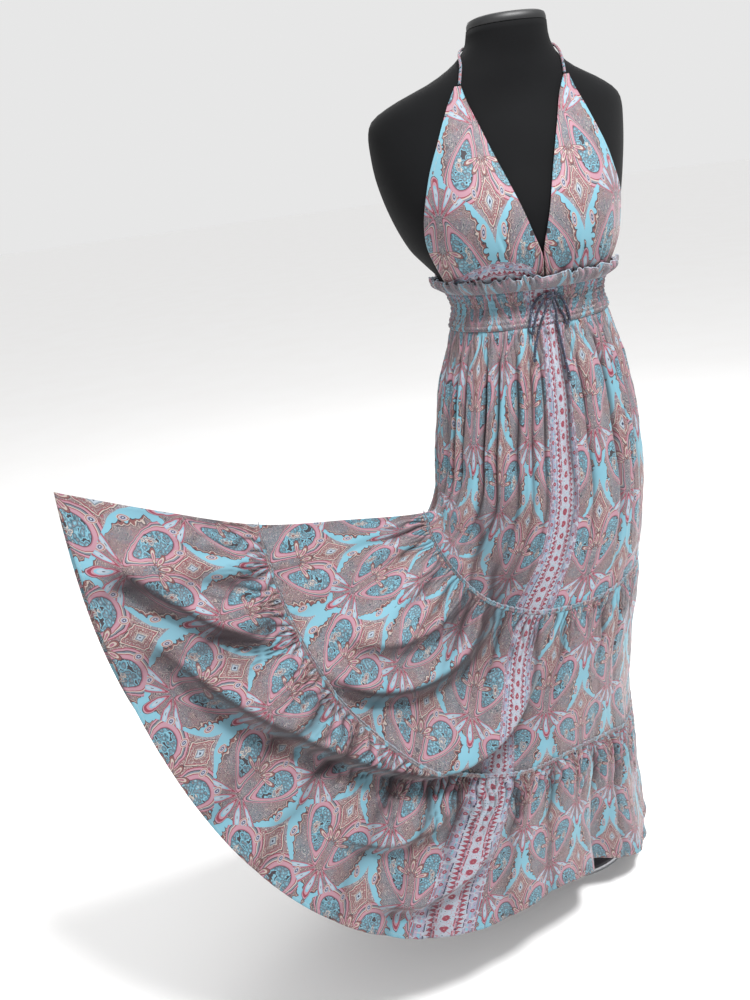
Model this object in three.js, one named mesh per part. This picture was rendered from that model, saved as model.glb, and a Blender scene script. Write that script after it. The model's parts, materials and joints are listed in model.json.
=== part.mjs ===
// A halter maxi dress with three gathered tiers, worn by a plain dress form on a stand.
// Millimetres, +Z up. The origin is on the floor under the form's middle. The form faces -Y,
// so the wearer's right is at -X. The skirt's right side is held out and up.
import * as THREE from "three";

// Cloth and fit
const WALL = 2.2; // thickness of a skirt panel
const BODICE_WALL = 2;
const SEAM_GAP = 0.3;
const BODICE_CLEARANCE = 2.2; // form to the inside of the cups and the smocked band
const HELD_TURN = THREE.MathUtils.degToRad(20); // the held-out side points this far to the front
const HELD_SEAM_DEGREES = -70; // where that side's seam meets the bodice, round from the centre front

// Dress lengths, measured down the cloth from the waist seam
const TIER_ONE_END = 450;
const TIER_TWO_END = 750;
const HEM = 1050;
const WAIST_SEAM_Z = 1040;
const BAND_TOP_Z = 1095;
const RUFFLE_TOP_Z = 1119;
const CUP_BASE_Z = 1098;
const CUP_TIP_Z = 1384;

// Stand
const BASE_RADIUS = 140;
const BASE_HEIGHT = 12;
const POLE_RADIUS = 12.5;
const STAND_Y = 20;
const BASE_EDGE = { drop: 5, inset: 8 };
const POLE_SIDES = 16;
const BASE_SIDES = 24;

// Rows of values under named columns.
const table = (columns, rows) =>
  rows.map((row) => Object.fromEntries(columns.split(" ").map((name, i) => [name, row[i]])));

// Skirt rings. t runs from the form's left side towards the held-out side, along the ring's
// long axis. A ring is level from "right" to "bend" and climbs from there to the "ridge".
const SKIRT_RINGS = table("s right bend ridge rightZ bendZ ridgeZ front back", [
  [0, -140, 0, 136, 1040, 1040, 1040, 101, 98],
  [110, -164, 20, 162, 927, 926, 925, 128, 122],
  [220, -178, 30, 178, 820, 816, 820, 152, 140],
  [330, -174, 60, 192, 718, 708, 774, 168, 146],
  [450, -158, 90, 232, 625, 608, 764, 178, 150],
  [600, -148, 120, 370, 468, 472, 792, 186, 156],
  [750, -148, 140, 510, 310, 362, 826, 194, 164],
  [900, -164, 180, 645, 165, 252, 886, 210, 176],
  [1050, -184, 220, 775, 22, 138, 950, 225, 190],
]);
// How square the climb is, and the share of the half ring before the centre line.
const RING_SHAPES = table("s square share", [
  [0, 2.2, 0.41],
  [220, 2.2, 0.385],
  [330, 2.6, 0.375],
  [450, 3, 0.385],
  [600, 2.6, 0.48],
  [750, 2.4, 0.55],
  [1050, 2.35, 0.62],
]);

// Swags pulled up to the held hem, on the front (side 1) and the back (side -1). Each crease runs
// through [t, z] knots. The cloth above it rolls out by "rise" over "roll" and falls to a trough.
const SWAGS = table("side rise trough roll knots", [
  [1, 15, 8, 70, [[165, 830], [185, 710], [230, 640], [320, 605], [400, 620], [440, 665]]],
  [1, 20, 11, 65, [[165, 720], [195, 640], [245, 575], [330, 545], [420, 560], [500, 625]]],
  [1, 27, 15, 90, [[140, 590], [185, 500], [250, 440], [340, 420], [430, 455], [520, 520],
    [620, 615], [740, 780]]],
  [1, 18, 12, 60, [[735, 850], [660, 765], [590, 700], [520, 655]]],
  [1, 12, 7, 60, [[320, 385], [370, 350], [450, 345], [540, 390]]],
  [1, 12, 7, 60, [[280, 290], [350, 250], [430, 240], [520, 280]]],
  [-1, 16, 9, 80, [[150, 780], [190, 660], [280, 590], [380, 590], [470, 650]]],
  [-1, 24, 13, 90, [[130, 620], [180, 500], [280, 420], [400, 430], [540, 520], [680, 660]]],
  [-1, 14, 8, 70, [[260, 310], [360, 270], [480, 290], [600, 380]]],
]);
const SWAG_LIP = 46; // width of the drop from roll to trough
const TROUGH_ROLL = 0.7; // a trough's width as a share of its roll
const SWAG_FADE = { in: 0.2, out: 0.25 }; // shares of a crease over which its ends die away
const SWAG_POINTS = 40;

// Long flutes down the skirt, at a share x of the half ring.
const FLUTES = [
  { side: 1, x: 0.7, half: 0.045, from: 730, depth: -30 },
  { side: 1, x: 0.78, half: 0.05, from: 480, depth: 12 },
  { side: 1, x: 0.88, half: 0.04, from: 520, depth: -14 },
  { side: -1, x: 0.62, half: 0.05, from: 600, depth: -20 },
  { side: -1, x: 0.84, half: 0.05, from: 480, depth: 14 },
];

// Pleats and gathers of each tier, which run on down the skirt. They swell from nothing at the
// upper seam to "full" mm at the share "at" of the tier's length, and end at "last" mm at "over".
const TIERS = table("name start end full at last over rows", [
  ["tier1", 0, TIER_ONE_END, 5, 0.25, 0, 1, 6],
  ["tier2", TIER_ONE_END, TIER_TWO_END, 3, 0.15, 0.6, 0.5, 10],
  ["tier3", TIER_TWO_END, HEM, 4.5, 0.15, 2, 0.6, 10],
]);
const FRONT_PLEATS = 15;
const BACK_PLEATS = 12;
const PLEAT_COLUMNS = 4; // columns of faces across one pleat
const UNEVEN = 0.35; // how far the pleats' height varies, in two waves round the half ring
const UNEVEN_SLOW = 3.3;
const UNEVEN_QUICK = 5.1;
const UNEVEN_PHASE = 0.2;
const SIDE_FADE = 0.03; // share of the half ring over which folds die at a side seam

// Form sections: half width, reach to the front and back of the widest line, and that line's middle.
const FORM_SECTIONS = table("z half front back x y", [
  [700, 144, 98, 104, 0, 0],
  [720, 154, 104, 113, 0, 0],
  [770, 158, 107, 118, 0, 0],
  [840, 146, 101, 108, 0, 0],
  [920, 125, 92, 90, 0, 0],
  [990, 110, 85, 76, 0, 0],
  [1045, 110, 86, 75, 0, 0],
  [1080, 118, 92, 78, -2, 0],
  [1115, 131, 112, 84, -5, 6],
  [1140, 147, 134, 84, -10, 14],
  [1165, 162, 150, 80, -15, 22],
  [1215, 180, 163, 68, -19, 36],
  [1270, 194, 148, 58, -20, 46],
  [1315, 199, 130, 52, -20, 48],
  [1345, 198, 114, 46, -20, 46],
  [1362, 188, 104, 40, -20, 42],
  [1380, 156, 90, 38, -18, 32],
  [1400, 108, 74, 46, -14, 18],
  [1420, 77, 62, 54, -10, 8],
  [1440, 62, 56, 54, -7, 2],
  [1462, 58, 53, 52, -6, 0],
]);
const FORM_SQUARE = 2.25; // power of the sections' rounded shape
const FORM_SIDES = 24;
const FORM_FOOT = { drop: 8, scale: 0.86 }; // the rounded lower edge
const NECK_CAP_TOP = 1476;
const NECK_CAP_SCALES = { foot: 0.98, edge: 0.94, top: 0.7 };
const NECK_CAP_EDGE = 8; // height of the cap's rounded edge

// Cup edges as distances across from the form's middle.
const CUP_EDGES = table("z inner outer", [
  [1098, 1.5, 118],
  [1125, 1.5, 130],
  [1150, 1.5, 139],
  [1180, 10, 147],
  [1215, 21, 146],
  [1265, 37, 135],
  [1311, 52, 117],
  [1350, 64, 100],
  [1384, 75, 83],
]);
const CUP_FULLNESS = 9;
const CUP_FULLEST = 0.3; // share of the cup's height
const CUP_GATHERS = 4.5; // waves of gathering over the band
const CUP_GATHER = 2.2;
const CUP_GATHER_ENDS = 0.45; // share of the cup's height
const CUP_FOOT = 1.5; // the cup stands off this much more above its foot
const CUP_GRID = [10, 9];

const BAND_WAVES = 16; // smocking cells on one half
const BAND_ROWS = 5;
const SMOCK_RAISE = 1.8;
const BAND_FLARE = 1.3; // how soon, up the band, it leaves the skirt's ring for the form
const RUFFLE_WAVES = 14; // on one half
const RUFFLE_REACH = 11;
const RUFFLE_WAVE = 3;
const RUFFLE_ROLL = 0.75 * Math.PI; // how far round the bulge turns
const RUFFLE_PHASE = 0.6;
const RUFFLE_START = 5.2; // out from the cups' inside

// Halter strap: [degrees round from the centre front, z] knots on the form, one side.
const STRAP_RADIUS = 2;
const STRAP_CLEARANCE = 4;
const STRAP_STEPS = 36;
const STRAP_KNOTS = [
  [30.5, 1386.5], [39.5, 1398], [54, 1412], [83, 1428], [120, 1440], [150, 1447], [180, 1450],
];

// Drawstring, as [x, y, z] knots chosen by hand.
const CORD_DIAMETER = 4;
const CORD_STEPS = 13;
const TUBE_SEGMENTS = 4;
const BOW = [2, -105, 1084];
const BOW_SIZE = [7, 4.5, 5.5]; // half sizes of the knot
const BEAD_RADIUS = 3.6; // the knot at a cord's end, and how far its middle lies below that end
const BEAD_DROP = 4.2;
const CORD_ROUTES = {
  drawstring_loop_right: [[-6.2, -104.5, 1086], [-16, -101.5, 1080], [-25, -102, 1066], [-31, -108.5, 1050],
    [-34, -111.5, 1036], [-29.5, -112.5, 1031], [-25, -109, 1044], [-18, -104, 1060], [-6.2, -105, 1080.5]],
  drawstring_loop_left: [[10.2, -104.5, 1086], [19, -101, 1081], [27, -99.5, 1069], [32, -99.5, 1054],
    [33, -101.5, 1041], [28, -103, 1037], [24, -102, 1050], [17, -101.5, 1064], [10.2, -105, 1080.5]],
  drawstring_end_right: [[-1.5, -108, 1077], [-7, -110, 1064], [-14, -109.5, 1048], [-21, -113, 1030],
    [-28, -119, 1012], [-32, -122.9, 998]],
  drawstring_end_left: [[5.5, -108, 1077], [9, -109, 1063], [11, -107, 1044], [13, -112, 1020],
    [15, -117, 1000], [17.5, -121, 980], [20, -125.5, 964]],
};

const CLOTH = new THREE.MeshStandardMaterial({ color: 0x9aa7b3, roughness: 0.75 });
const DARK_CLOTH = new THREE.MeshStandardMaterial({ color: 0x23242b, roughness: 0.8 });
const FORM_COVER = new THREE.MeshStandardMaterial({ color: 0x121314, roughness: 0.9 });
const STEEL = new THREE.MeshStandardMaterial({ color: 0xb9bcc0, roughness: 0.3, metalness: 1 });

const part = new THREE.Group();

const clamp01 = (v) => THREE.MathUtils.clamp(v, 0, 1);
const ease = (v) => clamp01(v) ** 2 * (3 - 2 * clamp01(v));

// The value of a column between rows, by a smooth curve that passes through each row.
function columnAt(rows, by, column, at) {
  const last = rows.length - 1;
  let i = 0;
  while (i < last - 1 && at > rows[i + 1][by]) i++;
  const slope = (k) => {
    const a = rows[Math.max(k - 1, 0)];
    const b = rows[Math.min(k + 1, last)];
    return (b[column] - a[column]) / (b[by] - a[by]);
  };
  const [a, b] = [rows[i], rows[i + 1]];
  const step = b[by] - a[by];
  const u = clamp01((at - a[by]) / step);
  const [u2, u3] = [u * u, u * u * u];
  return (2 * u3 - 3 * u2 + 1) * a[column] + (u3 - 2 * u2 + u) * step * slope(i)
    + (3 * u2 - 2 * u3) * b[column] + (u3 - u2) * step * slope(i + 1);
}

// A closed wall between an outer and an inner grid of points, columns 0..across by rows 0..along.
function wallSolid(across, along, outer, inner) {
  const points = [];
  const faces = [];
  const width = across + 1;
  const layer = width * (along + 1);
  for (const skin of [outer, inner])
    for (let j = 0; j <= along; j++)
      for (let i = 0; i <= across; i++) points.push(...skin(i, j).toArray());
  const quad = (a, b, c, d) => faces.push(a, b, d, b, c, d);
  for (let j = 0; j < along; j++)
    for (let i = 0; i < across; i++) {
      const a = j * width + i;
      quad(a, a + width, a + width + 1, a + 1);
      quad(layer + a, layer + a + 1, layer + a + width + 1, layer + a + width);
    }
  const rim = [];
  for (let i = 0; i < across; i++) rim.push(i);
  for (let j = 0; j < along; j++) rim.push(j * width + across);
  for (let i = across; i > 0; i--) rim.push(along * width + i);
  for (let j = along; j > 0; j--) rim.push(j * width);
  // The first and last rows split their rims alike, so that two walls fit at a twisted seam.
  rim.forEach((a, k) => {
    const b = rim[(k + 1) % rim.length];
    if (a > layer - width && b >= layer - width) quad(b, layer + b, layer + a, a);
    else quad(a, b, layer + b, layer + a);
  });
  return solidFrom(points, faces);
}

// A geometry from points and faces, turned so that its faces point out.
function solidFrom(points, faces) {
  const at = (k) => new THREE.Vector3(points[3 * k], points[3 * k + 1], points[3 * k + 2]);
  let volume = 0;
  for (let f = 0; f < faces.length; f += 3)
    volume += at(faces[f]).dot(at(faces[f + 1]).cross(at(faces[f + 2])));
  const geometry = new THREE.BufferGeometry();
  geometry.setAttribute("position", new THREE.Float32BufferAttribute(points, 3));
  geometry.setIndex(volume > 0 ? faces : faces.reverse());
  geometry.computeVertexNormals();
  return geometry;
}

function addPiece(name, geometry, material) {
  const mesh = new THREE.Mesh(geometry, material.clone());
  mesh.name = name;
  part.add(mesh);
}

// Unit normal of a surface of two shares, from its neighbouring points.
function normalOf(surface, u, v, step) {
  const along = surface(u + step.share, v).sub(surface(u - step.share, v));
  const down = surface(u, v + step.mm).sub(surface(u, v - step.mm));
  return down.cross(along).normalize();
}

// Skirt

const heldAxis = new THREE.Vector3(-Math.cos(HELD_TURN), -Math.sin(HELD_TURN), 0);
const frontAxis = new THREE.Vector3(Math.sin(HELD_TURN), -Math.cos(HELD_TURN), 0);
const RING_SAMPLES = 160;
const COARSE = { share: 0.004, mm: 3 }; // steps to a neighbouring point, for a normal
const FINE = { share: 0.002, mm: 1 };
const ringCache = new Map();

// Half a ring as samples of [t, n, z] with the share of its length at each.
function halfRing(s, side) {
  const key = `${side} ${s.toFixed(3)}`;
  if (ringCache.has(key)) return ringCache.get(key);
  const get = (column) => columnAt(SKIRT_RINGS, "s", column, s);
  const [right, bend, ridge] = [get("right"), get("bend"), get("ridge")];
  const [rightZ, bendZ, ridgeZ] = [get("rightZ"), get("bendZ"), get("ridgeZ")];
  const reach = side > 0 ? get("front") : -get("back");
  const square = columnAt(RING_SHAPES, "s", "square", s);
  const samples = [];
  let length = 0;
  for (let k = 0; k <= RING_SAMPLES; k++) {
    const angle = (Math.PI * k) / RING_SAMPLES;
    const t = right + ((ridge - right) * (1 + Math.cos(angle))) / 2;
    const climb = clamp01((t - bend) / (ridge - bend));
    const rise = 1 - (1 - climb ** square) ** (1 / square);
    const z = THREE.MathUtils.lerp(rightZ, bendZ, ease((t - right) / (bend - right)));
    const point = new THREE.Vector3(t, reach * Math.sin(angle), z + (ridgeZ - bendZ) * rise);
    if (k) length += point.distanceTo(samples[k - 1].point);
    samples.push({ point, length });
  }
  const ring = { samples, length, share: columnAt(RING_SHAPES, "s", "share", s) };
  ringCache.set(key, ring);
  return ring;
}

// A point [t, n, z] of the smooth skirt, before its pleats and folds.
function smoothSkirt(x, s, side) {
  const ring = halfRing(s, side);
  const h = x < 0 ? -x : x > 1 ? 2 - x : x;
  const mirror = h === x ? 1 : -1;
  const wanted = (h + 4 * (ring.share - 0.5) * h * (1 - h)) * ring.length;
  let k = 1;
  while (k < RING_SAMPLES && ring.samples[k].length < wanted) k++;
  const [a, b] = [ring.samples[k - 1], ring.samples[k]];
  const between = clamp01((wanted - a.length) / (b.length - a.length));
  const point = a.point.clone().lerp(b.point, between);
  point.y *= mirror;
  return point;
}

const swagCurves = SWAGS.map((swag) => {
  const knots = swag.knots.map(([t, z]) => new THREE.Vector3(t, 0, z));
  return new THREE.CatmullRomCurve3(knots, false, "centripetal").getSpacedPoints(SWAG_POINTS);
});

// How far a swag moves the cloth at [t, z]: a roll on one side of its crease, a trough on the other.
function swagLift(swag, curve, point) {
  let best = { distance: Infinity };
  for (let k = 1; k < curve.length; k++) {
    const [ax, az] = [curve[k - 1].x, curve[k - 1].z];
    const [dx, dz] = [curve[k].x - ax, curve[k].z - az];
    const u = clamp01(((point.x - ax) * dx + (point.z - az) * dz) / (dx * dx + dz * dz));
    const [ex, ez] = [point.x - ax - u * dx, point.z - az - u * dz];
    const distance = Math.hypot(ex, ez);
    if (distance < best.distance) {
      best = { distance, along: (k - 1 + u) / (curve.length - 1), above: dx * ez - dz * ex > 0 };
    }
  }
  const leftward = curve[curve.length - 1].x > curve[0].x;
  const above = best.above === leftward;
  const fade = ease(best.along / SWAG_FADE.in) * ease((1 - best.along) / SWAG_FADE.out);
  const q = above ? best.distance : -best.distance;
  if (q > 0) return fade * swag.rise * (1 - ease(q / swag.roll));
  const drop = ease(-q / SWAG_LIP);
  if (q > -SWAG_LIP) return fade * THREE.MathUtils.lerp(swag.rise, -swag.trough, drop);
  return -fade * swag.trough * (1 - ease((-q - SWAG_LIP) / (TROUGH_ROLL * swag.roll)));
}

// A pleat's height across one wave: a broad ridge with a narrower valley.
const pleatShape = (phase) => 1 - 2 * (1 - Math.abs(Math.sin(Math.PI * phase))) ** 1.5;

function pleatLift(tier, x, s, side) {
  const down = clamp01((s - tier.start) / (tier.end - tier.start));
  const swell = down < tier.at
    ? tier.full * ease(down / tier.at)
    : THREE.MathUtils.lerp(tier.full, tier.last, ease((down - tier.at) / (tier.over - tier.at)));
  const count = side > 0 ? FRONT_PLEATS : BACK_PLEATS;
  const wave = (turns) => Math.sin(2 * Math.PI * turns);
  const [slow, quick] = [wave(UNEVEN_SLOW * x + UNEVEN_PHASE), wave(UNEVEN_QUICK * x)];
  const uneven = 1 + UNEVEN * slow * quick;
  return swell * uneven * pleatShape(count * x);
}

function fluteLift(x, s, side) {
  let lift = 0;
  for (const flute of FLUTES) {
    if (flute.side !== side) continue;
    const across = 1 - ease(Math.abs(x - flute.x) / flute.half);
    lift += flute.depth * across * ease((s - flute.from) / (HEM - flute.from));
  }
  return lift;
}

// The draped skirt in world axes. Folds die away at the side seams and pleats at the tier seams.
function drapedSkirt(tier, x, s, side) {
  const base = smoothSkirt(x, s, side);
  const surface = (u, v) => smoothSkirt(u, v, side);
  const normal = normalOf(surface, x, s, COARSE).multiplyScalar(side);
  const swags = SWAGS.reduce(
    (sum, swag, k) => sum + (swag.side === side ? swagLift(swag, swagCurves[k], base) : 0),
    0,
  );
  const atSides = ease(x / SIDE_FADE) * ease((1 - x) / SIDE_FADE);
  const lift = atSides * (swags + fluteLift(x, s, side) + pleatLift(tier, x, s, side));
  return toWorld(base.addScaledVector(normal, lift));
}

const toWorld = (p) =>
  new THREE.Vector3().addScaledVector(heldAxis, p.x).addScaledVector(frontAxis, p.y).setZ(p.z);

function addTierHalf(tier, side) {
  const across = PLEAT_COLUMNS * (side > 0 ? FRONT_PLEATS : BACK_PLEATS);
  const along = side > 0 ? tier.rows : Math.ceil(tier.rows / 2);
  const surface = (x, s) => drapedSkirt(tier, x, s, side);
  const seamShift = frontAxis.clone().multiplyScalar((side * SEAM_GAP) / 2);
  const grid = [];
  for (let j = 0; j <= along; j++)
    for (let i = 0; i <= across; i++) {
      const x = i / across;
      const s = THREE.MathUtils.lerp(tier.start, tier.end, j / along);
      const normal = normalOf(surface, x, s, FINE).multiplyScalar(side);
      if (s === 0) normal.setZ(0).normalize();
      const down = surface(x, s + FINE.mm).sub(surface(x, s - FINE.mm)).normalize();
      const inset = j === 0 ? SEAM_GAP / 2 : j === along ? -SEAM_GAP / 2 : 0;
      grid.push({ point: surface(x, s).addScaledVector(down, inset).add(seamShift), normal });
    }
  const skin = (offset) => (i, j) => {
    const { point, normal } = grid[j * (across + 1) + i];
    return point.clone().addScaledVector(normal, offset);
  };
  const name = `${tier.name}_${side > 0 ? "front" : "back"}`;
  addPiece(name, wallSolid(across, along, skin(WALL / 2), skin(-WALL / 2)), CLOTH);
}

for (const tier of TIERS) for (const side of [1, -1]) addTierHalf(tier, side);

// Dress form

// A point on the form's surface, by degrees round from the centre front and height.
function formSurface(degrees, z) {
  const get = (column) => columnAt(FORM_SECTIONS, "z", column, z);
  const angle = THREE.MathUtils.degToRad(degrees);
  const round = (v) => Math.sign(v) * Math.abs(v) ** (2 / FORM_SQUARE);
  const reach = Math.cos(angle) > 0 ? get("front") : get("back");
  const across = get("half") * round(Math.sin(angle));
  return new THREE.Vector3(get("x") + across, get("y") - reach * round(Math.cos(angle)), z);
}

// Degrees round from the centre front of the place that lies "across" from the form's middle.
function degreesAt(across, z) {
  const share = Math.min(1, across / columnAt(FORM_SECTIONS, "z", "half", z));
  return THREE.MathUtils.radToDeg(Math.asin(share ** (FORM_SQUARE / 2)));
}

// A point held off the form along its surface normal.
function offForm(degrees, z, distance) {
  const near = (turn, rise) => formSurface(degrees + turn, z + rise);
  const along = near(1, 0).sub(near(-1, 0));
  const up = near(0, 2).sub(near(0, -2));
  return near(0, 0).addScaledVector(along.cross(up).normalize(), distance);
}

// A closed solid through level sections of equal point counts, with flat ends.
function loftSolid(sections) {
  const count = sections[0].length;
  const points = sections.flat().flatMap((p) => p.toArray());
  const faces = [];
  for (let j = 0; j + 1 < sections.length; j++)
    for (let i = 0; i < count; i++) {
      const [a, b] = [j * count + i, j * count + ((i + 1) % count)];
      faces.push(a, b, b + count, a, b + count, a + count);
    }
  const top = (sections.length - 1) * count;
  for (let i = 1; i + 1 < count; i++) faces.push(0, i + 1, i, top, top + i, top + i + 1);
  return solidFrom(points, faces);
}

function addForm() {
  const ring = (z, scale = 1) =>
    Array.from({ length: FORM_SIDES }, (_, i) => {
      const p = formSurface((360 * i) / FORM_SIDES, z);
      return new THREE.Vector3(p.x * scale, p.y * scale, z);
    });
  const scaled = (from, z, scale) => ring(from, scale).map((p) => p.setZ(z));
  const [foot, neck] = [FORM_SECTIONS[0].z, FORM_SECTIONS.at(-1).z];
  const sections = FORM_SECTIONS.map(({ z }) => ring(z));
  sections.unshift(scaled(foot, foot - FORM_FOOT.drop, FORM_FOOT.scale));
  addPiece("dress_form_torso", loftSolid(sections), FORM_COVER);
  const cap = [
    scaled(neck, neck + SEAM_GAP, NECK_CAP_SCALES.foot),
    scaled(neck, NECK_CAP_TOP - NECK_CAP_EDGE, NECK_CAP_SCALES.edge),
    scaled(neck, NECK_CAP_TOP, NECK_CAP_SCALES.top),
  ];
  addPiece("neck_cap", loftSolid(cap), DARK_CLOTH);
}

function addStand() {
  const poleFoot = BASE_HEIGHT + SEAM_GAP;
  const poleLength = FORM_SECTIONS[0].z - FORM_FOOT.drop - SEAM_GAP - poleFoot;
  const pole = new THREE.CylinderGeometry(POLE_RADIUS, POLE_RADIUS, poleLength, POLE_SIDES);
  pole.rotateX(Math.PI / 2).translate(0, STAND_Y, poleFoot + poleLength / 2);
  addPiece("stand_pole", pole, STEEL);
  const profile = [
    [0, 0], [BASE_RADIUS, 0], [BASE_RADIUS, BASE_HEIGHT - BASE_EDGE.drop],
    [BASE_RADIUS - BASE_EDGE.inset, BASE_HEIGHT], [0, BASE_HEIGHT],
  ].map(([r, h]) => new THREE.Vector2(r, h));
  const base = new THREE.LatheGeometry(profile, BASE_SIDES).rotateX(Math.PI / 2);
  addPiece("stand_base", base.translate(0, STAND_Y, 0), STEEL);
}

// Bodice

// How far a cup stands off the form at shares across and up it.
function cupLift(across, up) {
  const rise = ease(up / CUP_FULLEST) * (1 - ease((up - CUP_FULLEST) / (1 - CUP_FULLEST)));
  const full = CUP_FULLNESS * Math.sin(Math.PI * across) * rise;
  const gathered = ease(up / 0.08) * (1 - ease(up / CUP_GATHER_ENDS));
  const waves = CUP_GATHER * gathered * Math.sin(2 * Math.PI * CUP_GATHERS * across);
  return full + waves + CUP_FOOT * ease(up / 0.1);
}

function addCup(name, side) {
  const [columns, rows] = CUP_GRID;
  const edge = (column, z) => columnAt(CUP_EDGES, "z", column, z);
  const skin = (thickness) => (i, j) => {
    const [across, up] = [i / columns, j / rows];
    const z = THREE.MathUtils.lerp(CUP_BASE_Z, CUP_TIP_Z, up);
    const degrees = degreesAt(THREE.MathUtils.lerp(edge("inner", z), edge("outer", z), across), z);
    return offForm(side * degrees, z, BODICE_CLEARANCE + thickness + cupLift(across, up));
  };
  addPiece(name, wallSolid(columns, rows, skin(BODICE_WALL), skin(0)), CLOTH);
}

// Degrees round the form of a share x of the half ring, so that bodice and skirt share side seams.
function seamDegrees(x, side) {
  const share = columnAt(RING_SHAPES, "s", "share", 0);
  return HELD_SEAM_DEGREES + side * 180 * (x + 4 * (share - 0.5) * x * (1 - x));
}

// Half of the smocked band: small raised cells over a plain inside. Its lower edge follows the
// skirt's top ring and its upper edge the form.
function addBandHalf(name, side) {
  const across = 2 * BAND_WAVES;
  const along = BAND_ROWS;
  const seamShift = frontAxis.clone().multiplyScalar((side * SEAM_GAP) / 2);
  const ringPoint = (x) => toWorld(smoothSkirt(x, 0, side));
  const skin = (thickness, raise) => (i, j) => {
    const x = i / across;
    const z = THREE.MathUtils.lerp(WAIST_SEAM_Z + SEAM_GAP / 2, BAND_TOP_Z, j / along);
    const isEdge = i === 0 || i === across || j === 0 || j === along;
    const out = thickness + (isEdge || (i + j) % 2 ? 0 : raise);
    const tangent = ringPoint(x + COARSE.share).sub(ringPoint(x - COARSE.share)).normalize();
    const outward = new THREE.Vector3(side * tangent.y, -side * tangent.x, 0);
    const low = ringPoint(x).addScaledVector(outward, out - BODICE_WALL / 2).setZ(z);
    const high = offForm(seamDegrees(x, side), z, BODICE_CLEARANCE + out).setZ(z);
    return low.lerp(high, ease((j / along) * BAND_FLARE)).add(seamShift);
  };
  addPiece(name, wallSolid(across, along, skin(BODICE_WALL, SMOCK_RAISE), skin(0, 0)), CLOTH);
}

// Half of the standing ruffle: it bulges out over the cups' gathered base.
function addRuffleHalf(name, side) {
  const across = PLEAT_COLUMNS * RUFFLE_WAVES;
  const along = 2;
  const seamShift = frontAxis.clone().multiplyScalar((side * SEAM_GAP) / 2);
  const skin = (thickness) => (i, j) => {
    const up = j / along;
    const z = THREE.MathUtils.lerp(BAND_TOP_Z + SEAM_GAP, RUFFLE_TOP_Z, up);
    const atEnds = Math.min(1, i / PLEAT_COLUMNS, (across - i) / PLEAT_COLUMNS);
    const phase = (2 * Math.PI * i) / PLEAT_COLUMNS + RUFFLE_PHASE;
    const wave = RUFFLE_WAVE * up * atEnds * Math.sin(phase);
    const bulge = RUFFLE_REACH * Math.sin(RUFFLE_ROLL * up);
    const out = BODICE_CLEARANCE + RUFFLE_START + thickness + bulge + wave;
    return offForm(seamDegrees(i / across, side), z, out).setZ(z).add(seamShift);
  };
  addPiece(name, wallSolid(across, along, skin(BODICE_WALL), skin(0)), CLOTH);
}

// A round tube through hand-placed knots.
function tubeSolid(knots, radius, steps) {
  const curve = new THREE.CatmullRomCurve3(knots, false, "centripetal");
  const section = new THREE.Shape();
  section.absarc(0, 0, radius, 0, 2 * Math.PI);
  const sweep = { steps, extrudePath: curve, curveSegments: TUBE_SEGMENTS, bevelEnabled: false };
  return new THREE.ExtrudeGeometry(section, sweep);
}

function addStrap() {
  const half = (side) =>
    STRAP_KNOTS.map(([degrees, z]) => offForm(side * degrees, z, STRAP_CLEARANCE));
  const knots = [...half(1), ...half(-1).reverse().slice(1)];
  addPiece("halter_strap", tubeSolid(knots, STRAP_RADIUS, STRAP_STEPS), CLOTH);
}

function addDrawstring() {
  const knot = new THREE.SphereGeometry(1, 10, 6).scale(...BOW_SIZE).translate(...BOW);
  addPiece("drawstring_knot", knot, DARK_CLOTH);
  for (const [name, knots] of Object.entries(CORD_ROUTES)) {
    const route = knots.map((knot) => new THREE.Vector3(...knot));
    addPiece(name, tubeSolid(route, CORD_DIAMETER / 2, CORD_STEPS), DARK_CLOTH);
    if (!name.includes("end")) continue;
    const { x, y, z } = route.at(-1);
    const bead = new THREE.SphereGeometry(BEAD_RADIUS, 8, 5).translate(x, y, z - BEAD_DROP);
    addPiece(name.replace("end", "end_knot"), bead, DARK_CLOTH);
  }
}

addForm();
addStand();
addCup("right_cup", -1);
addCup("left_cup", 1);
addBandHalf("waistband_front", 1);
addBandHalf("waistband_back", -1);
addRuffleHalf("ruffle_front", 1);
addRuffleHalf("ruffle_back", -1);
addStrap();
addDrawstring();

export default part;
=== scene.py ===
# %% [markdown]
# # A halter maxi dress with its hem held out, on a dress form
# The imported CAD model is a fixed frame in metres, +Z up. The form faces -Y and the hem is held out
# towards -X. Each cloth solid of the frame is replaced by a thin, finely creased shell on the same
# form, so that the looks are new and the sizes stay.

# %% Load the frame
import json
import math
import bmesh
import bpy
import numpy as np
from mathutils import Matrix, Vector

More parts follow.
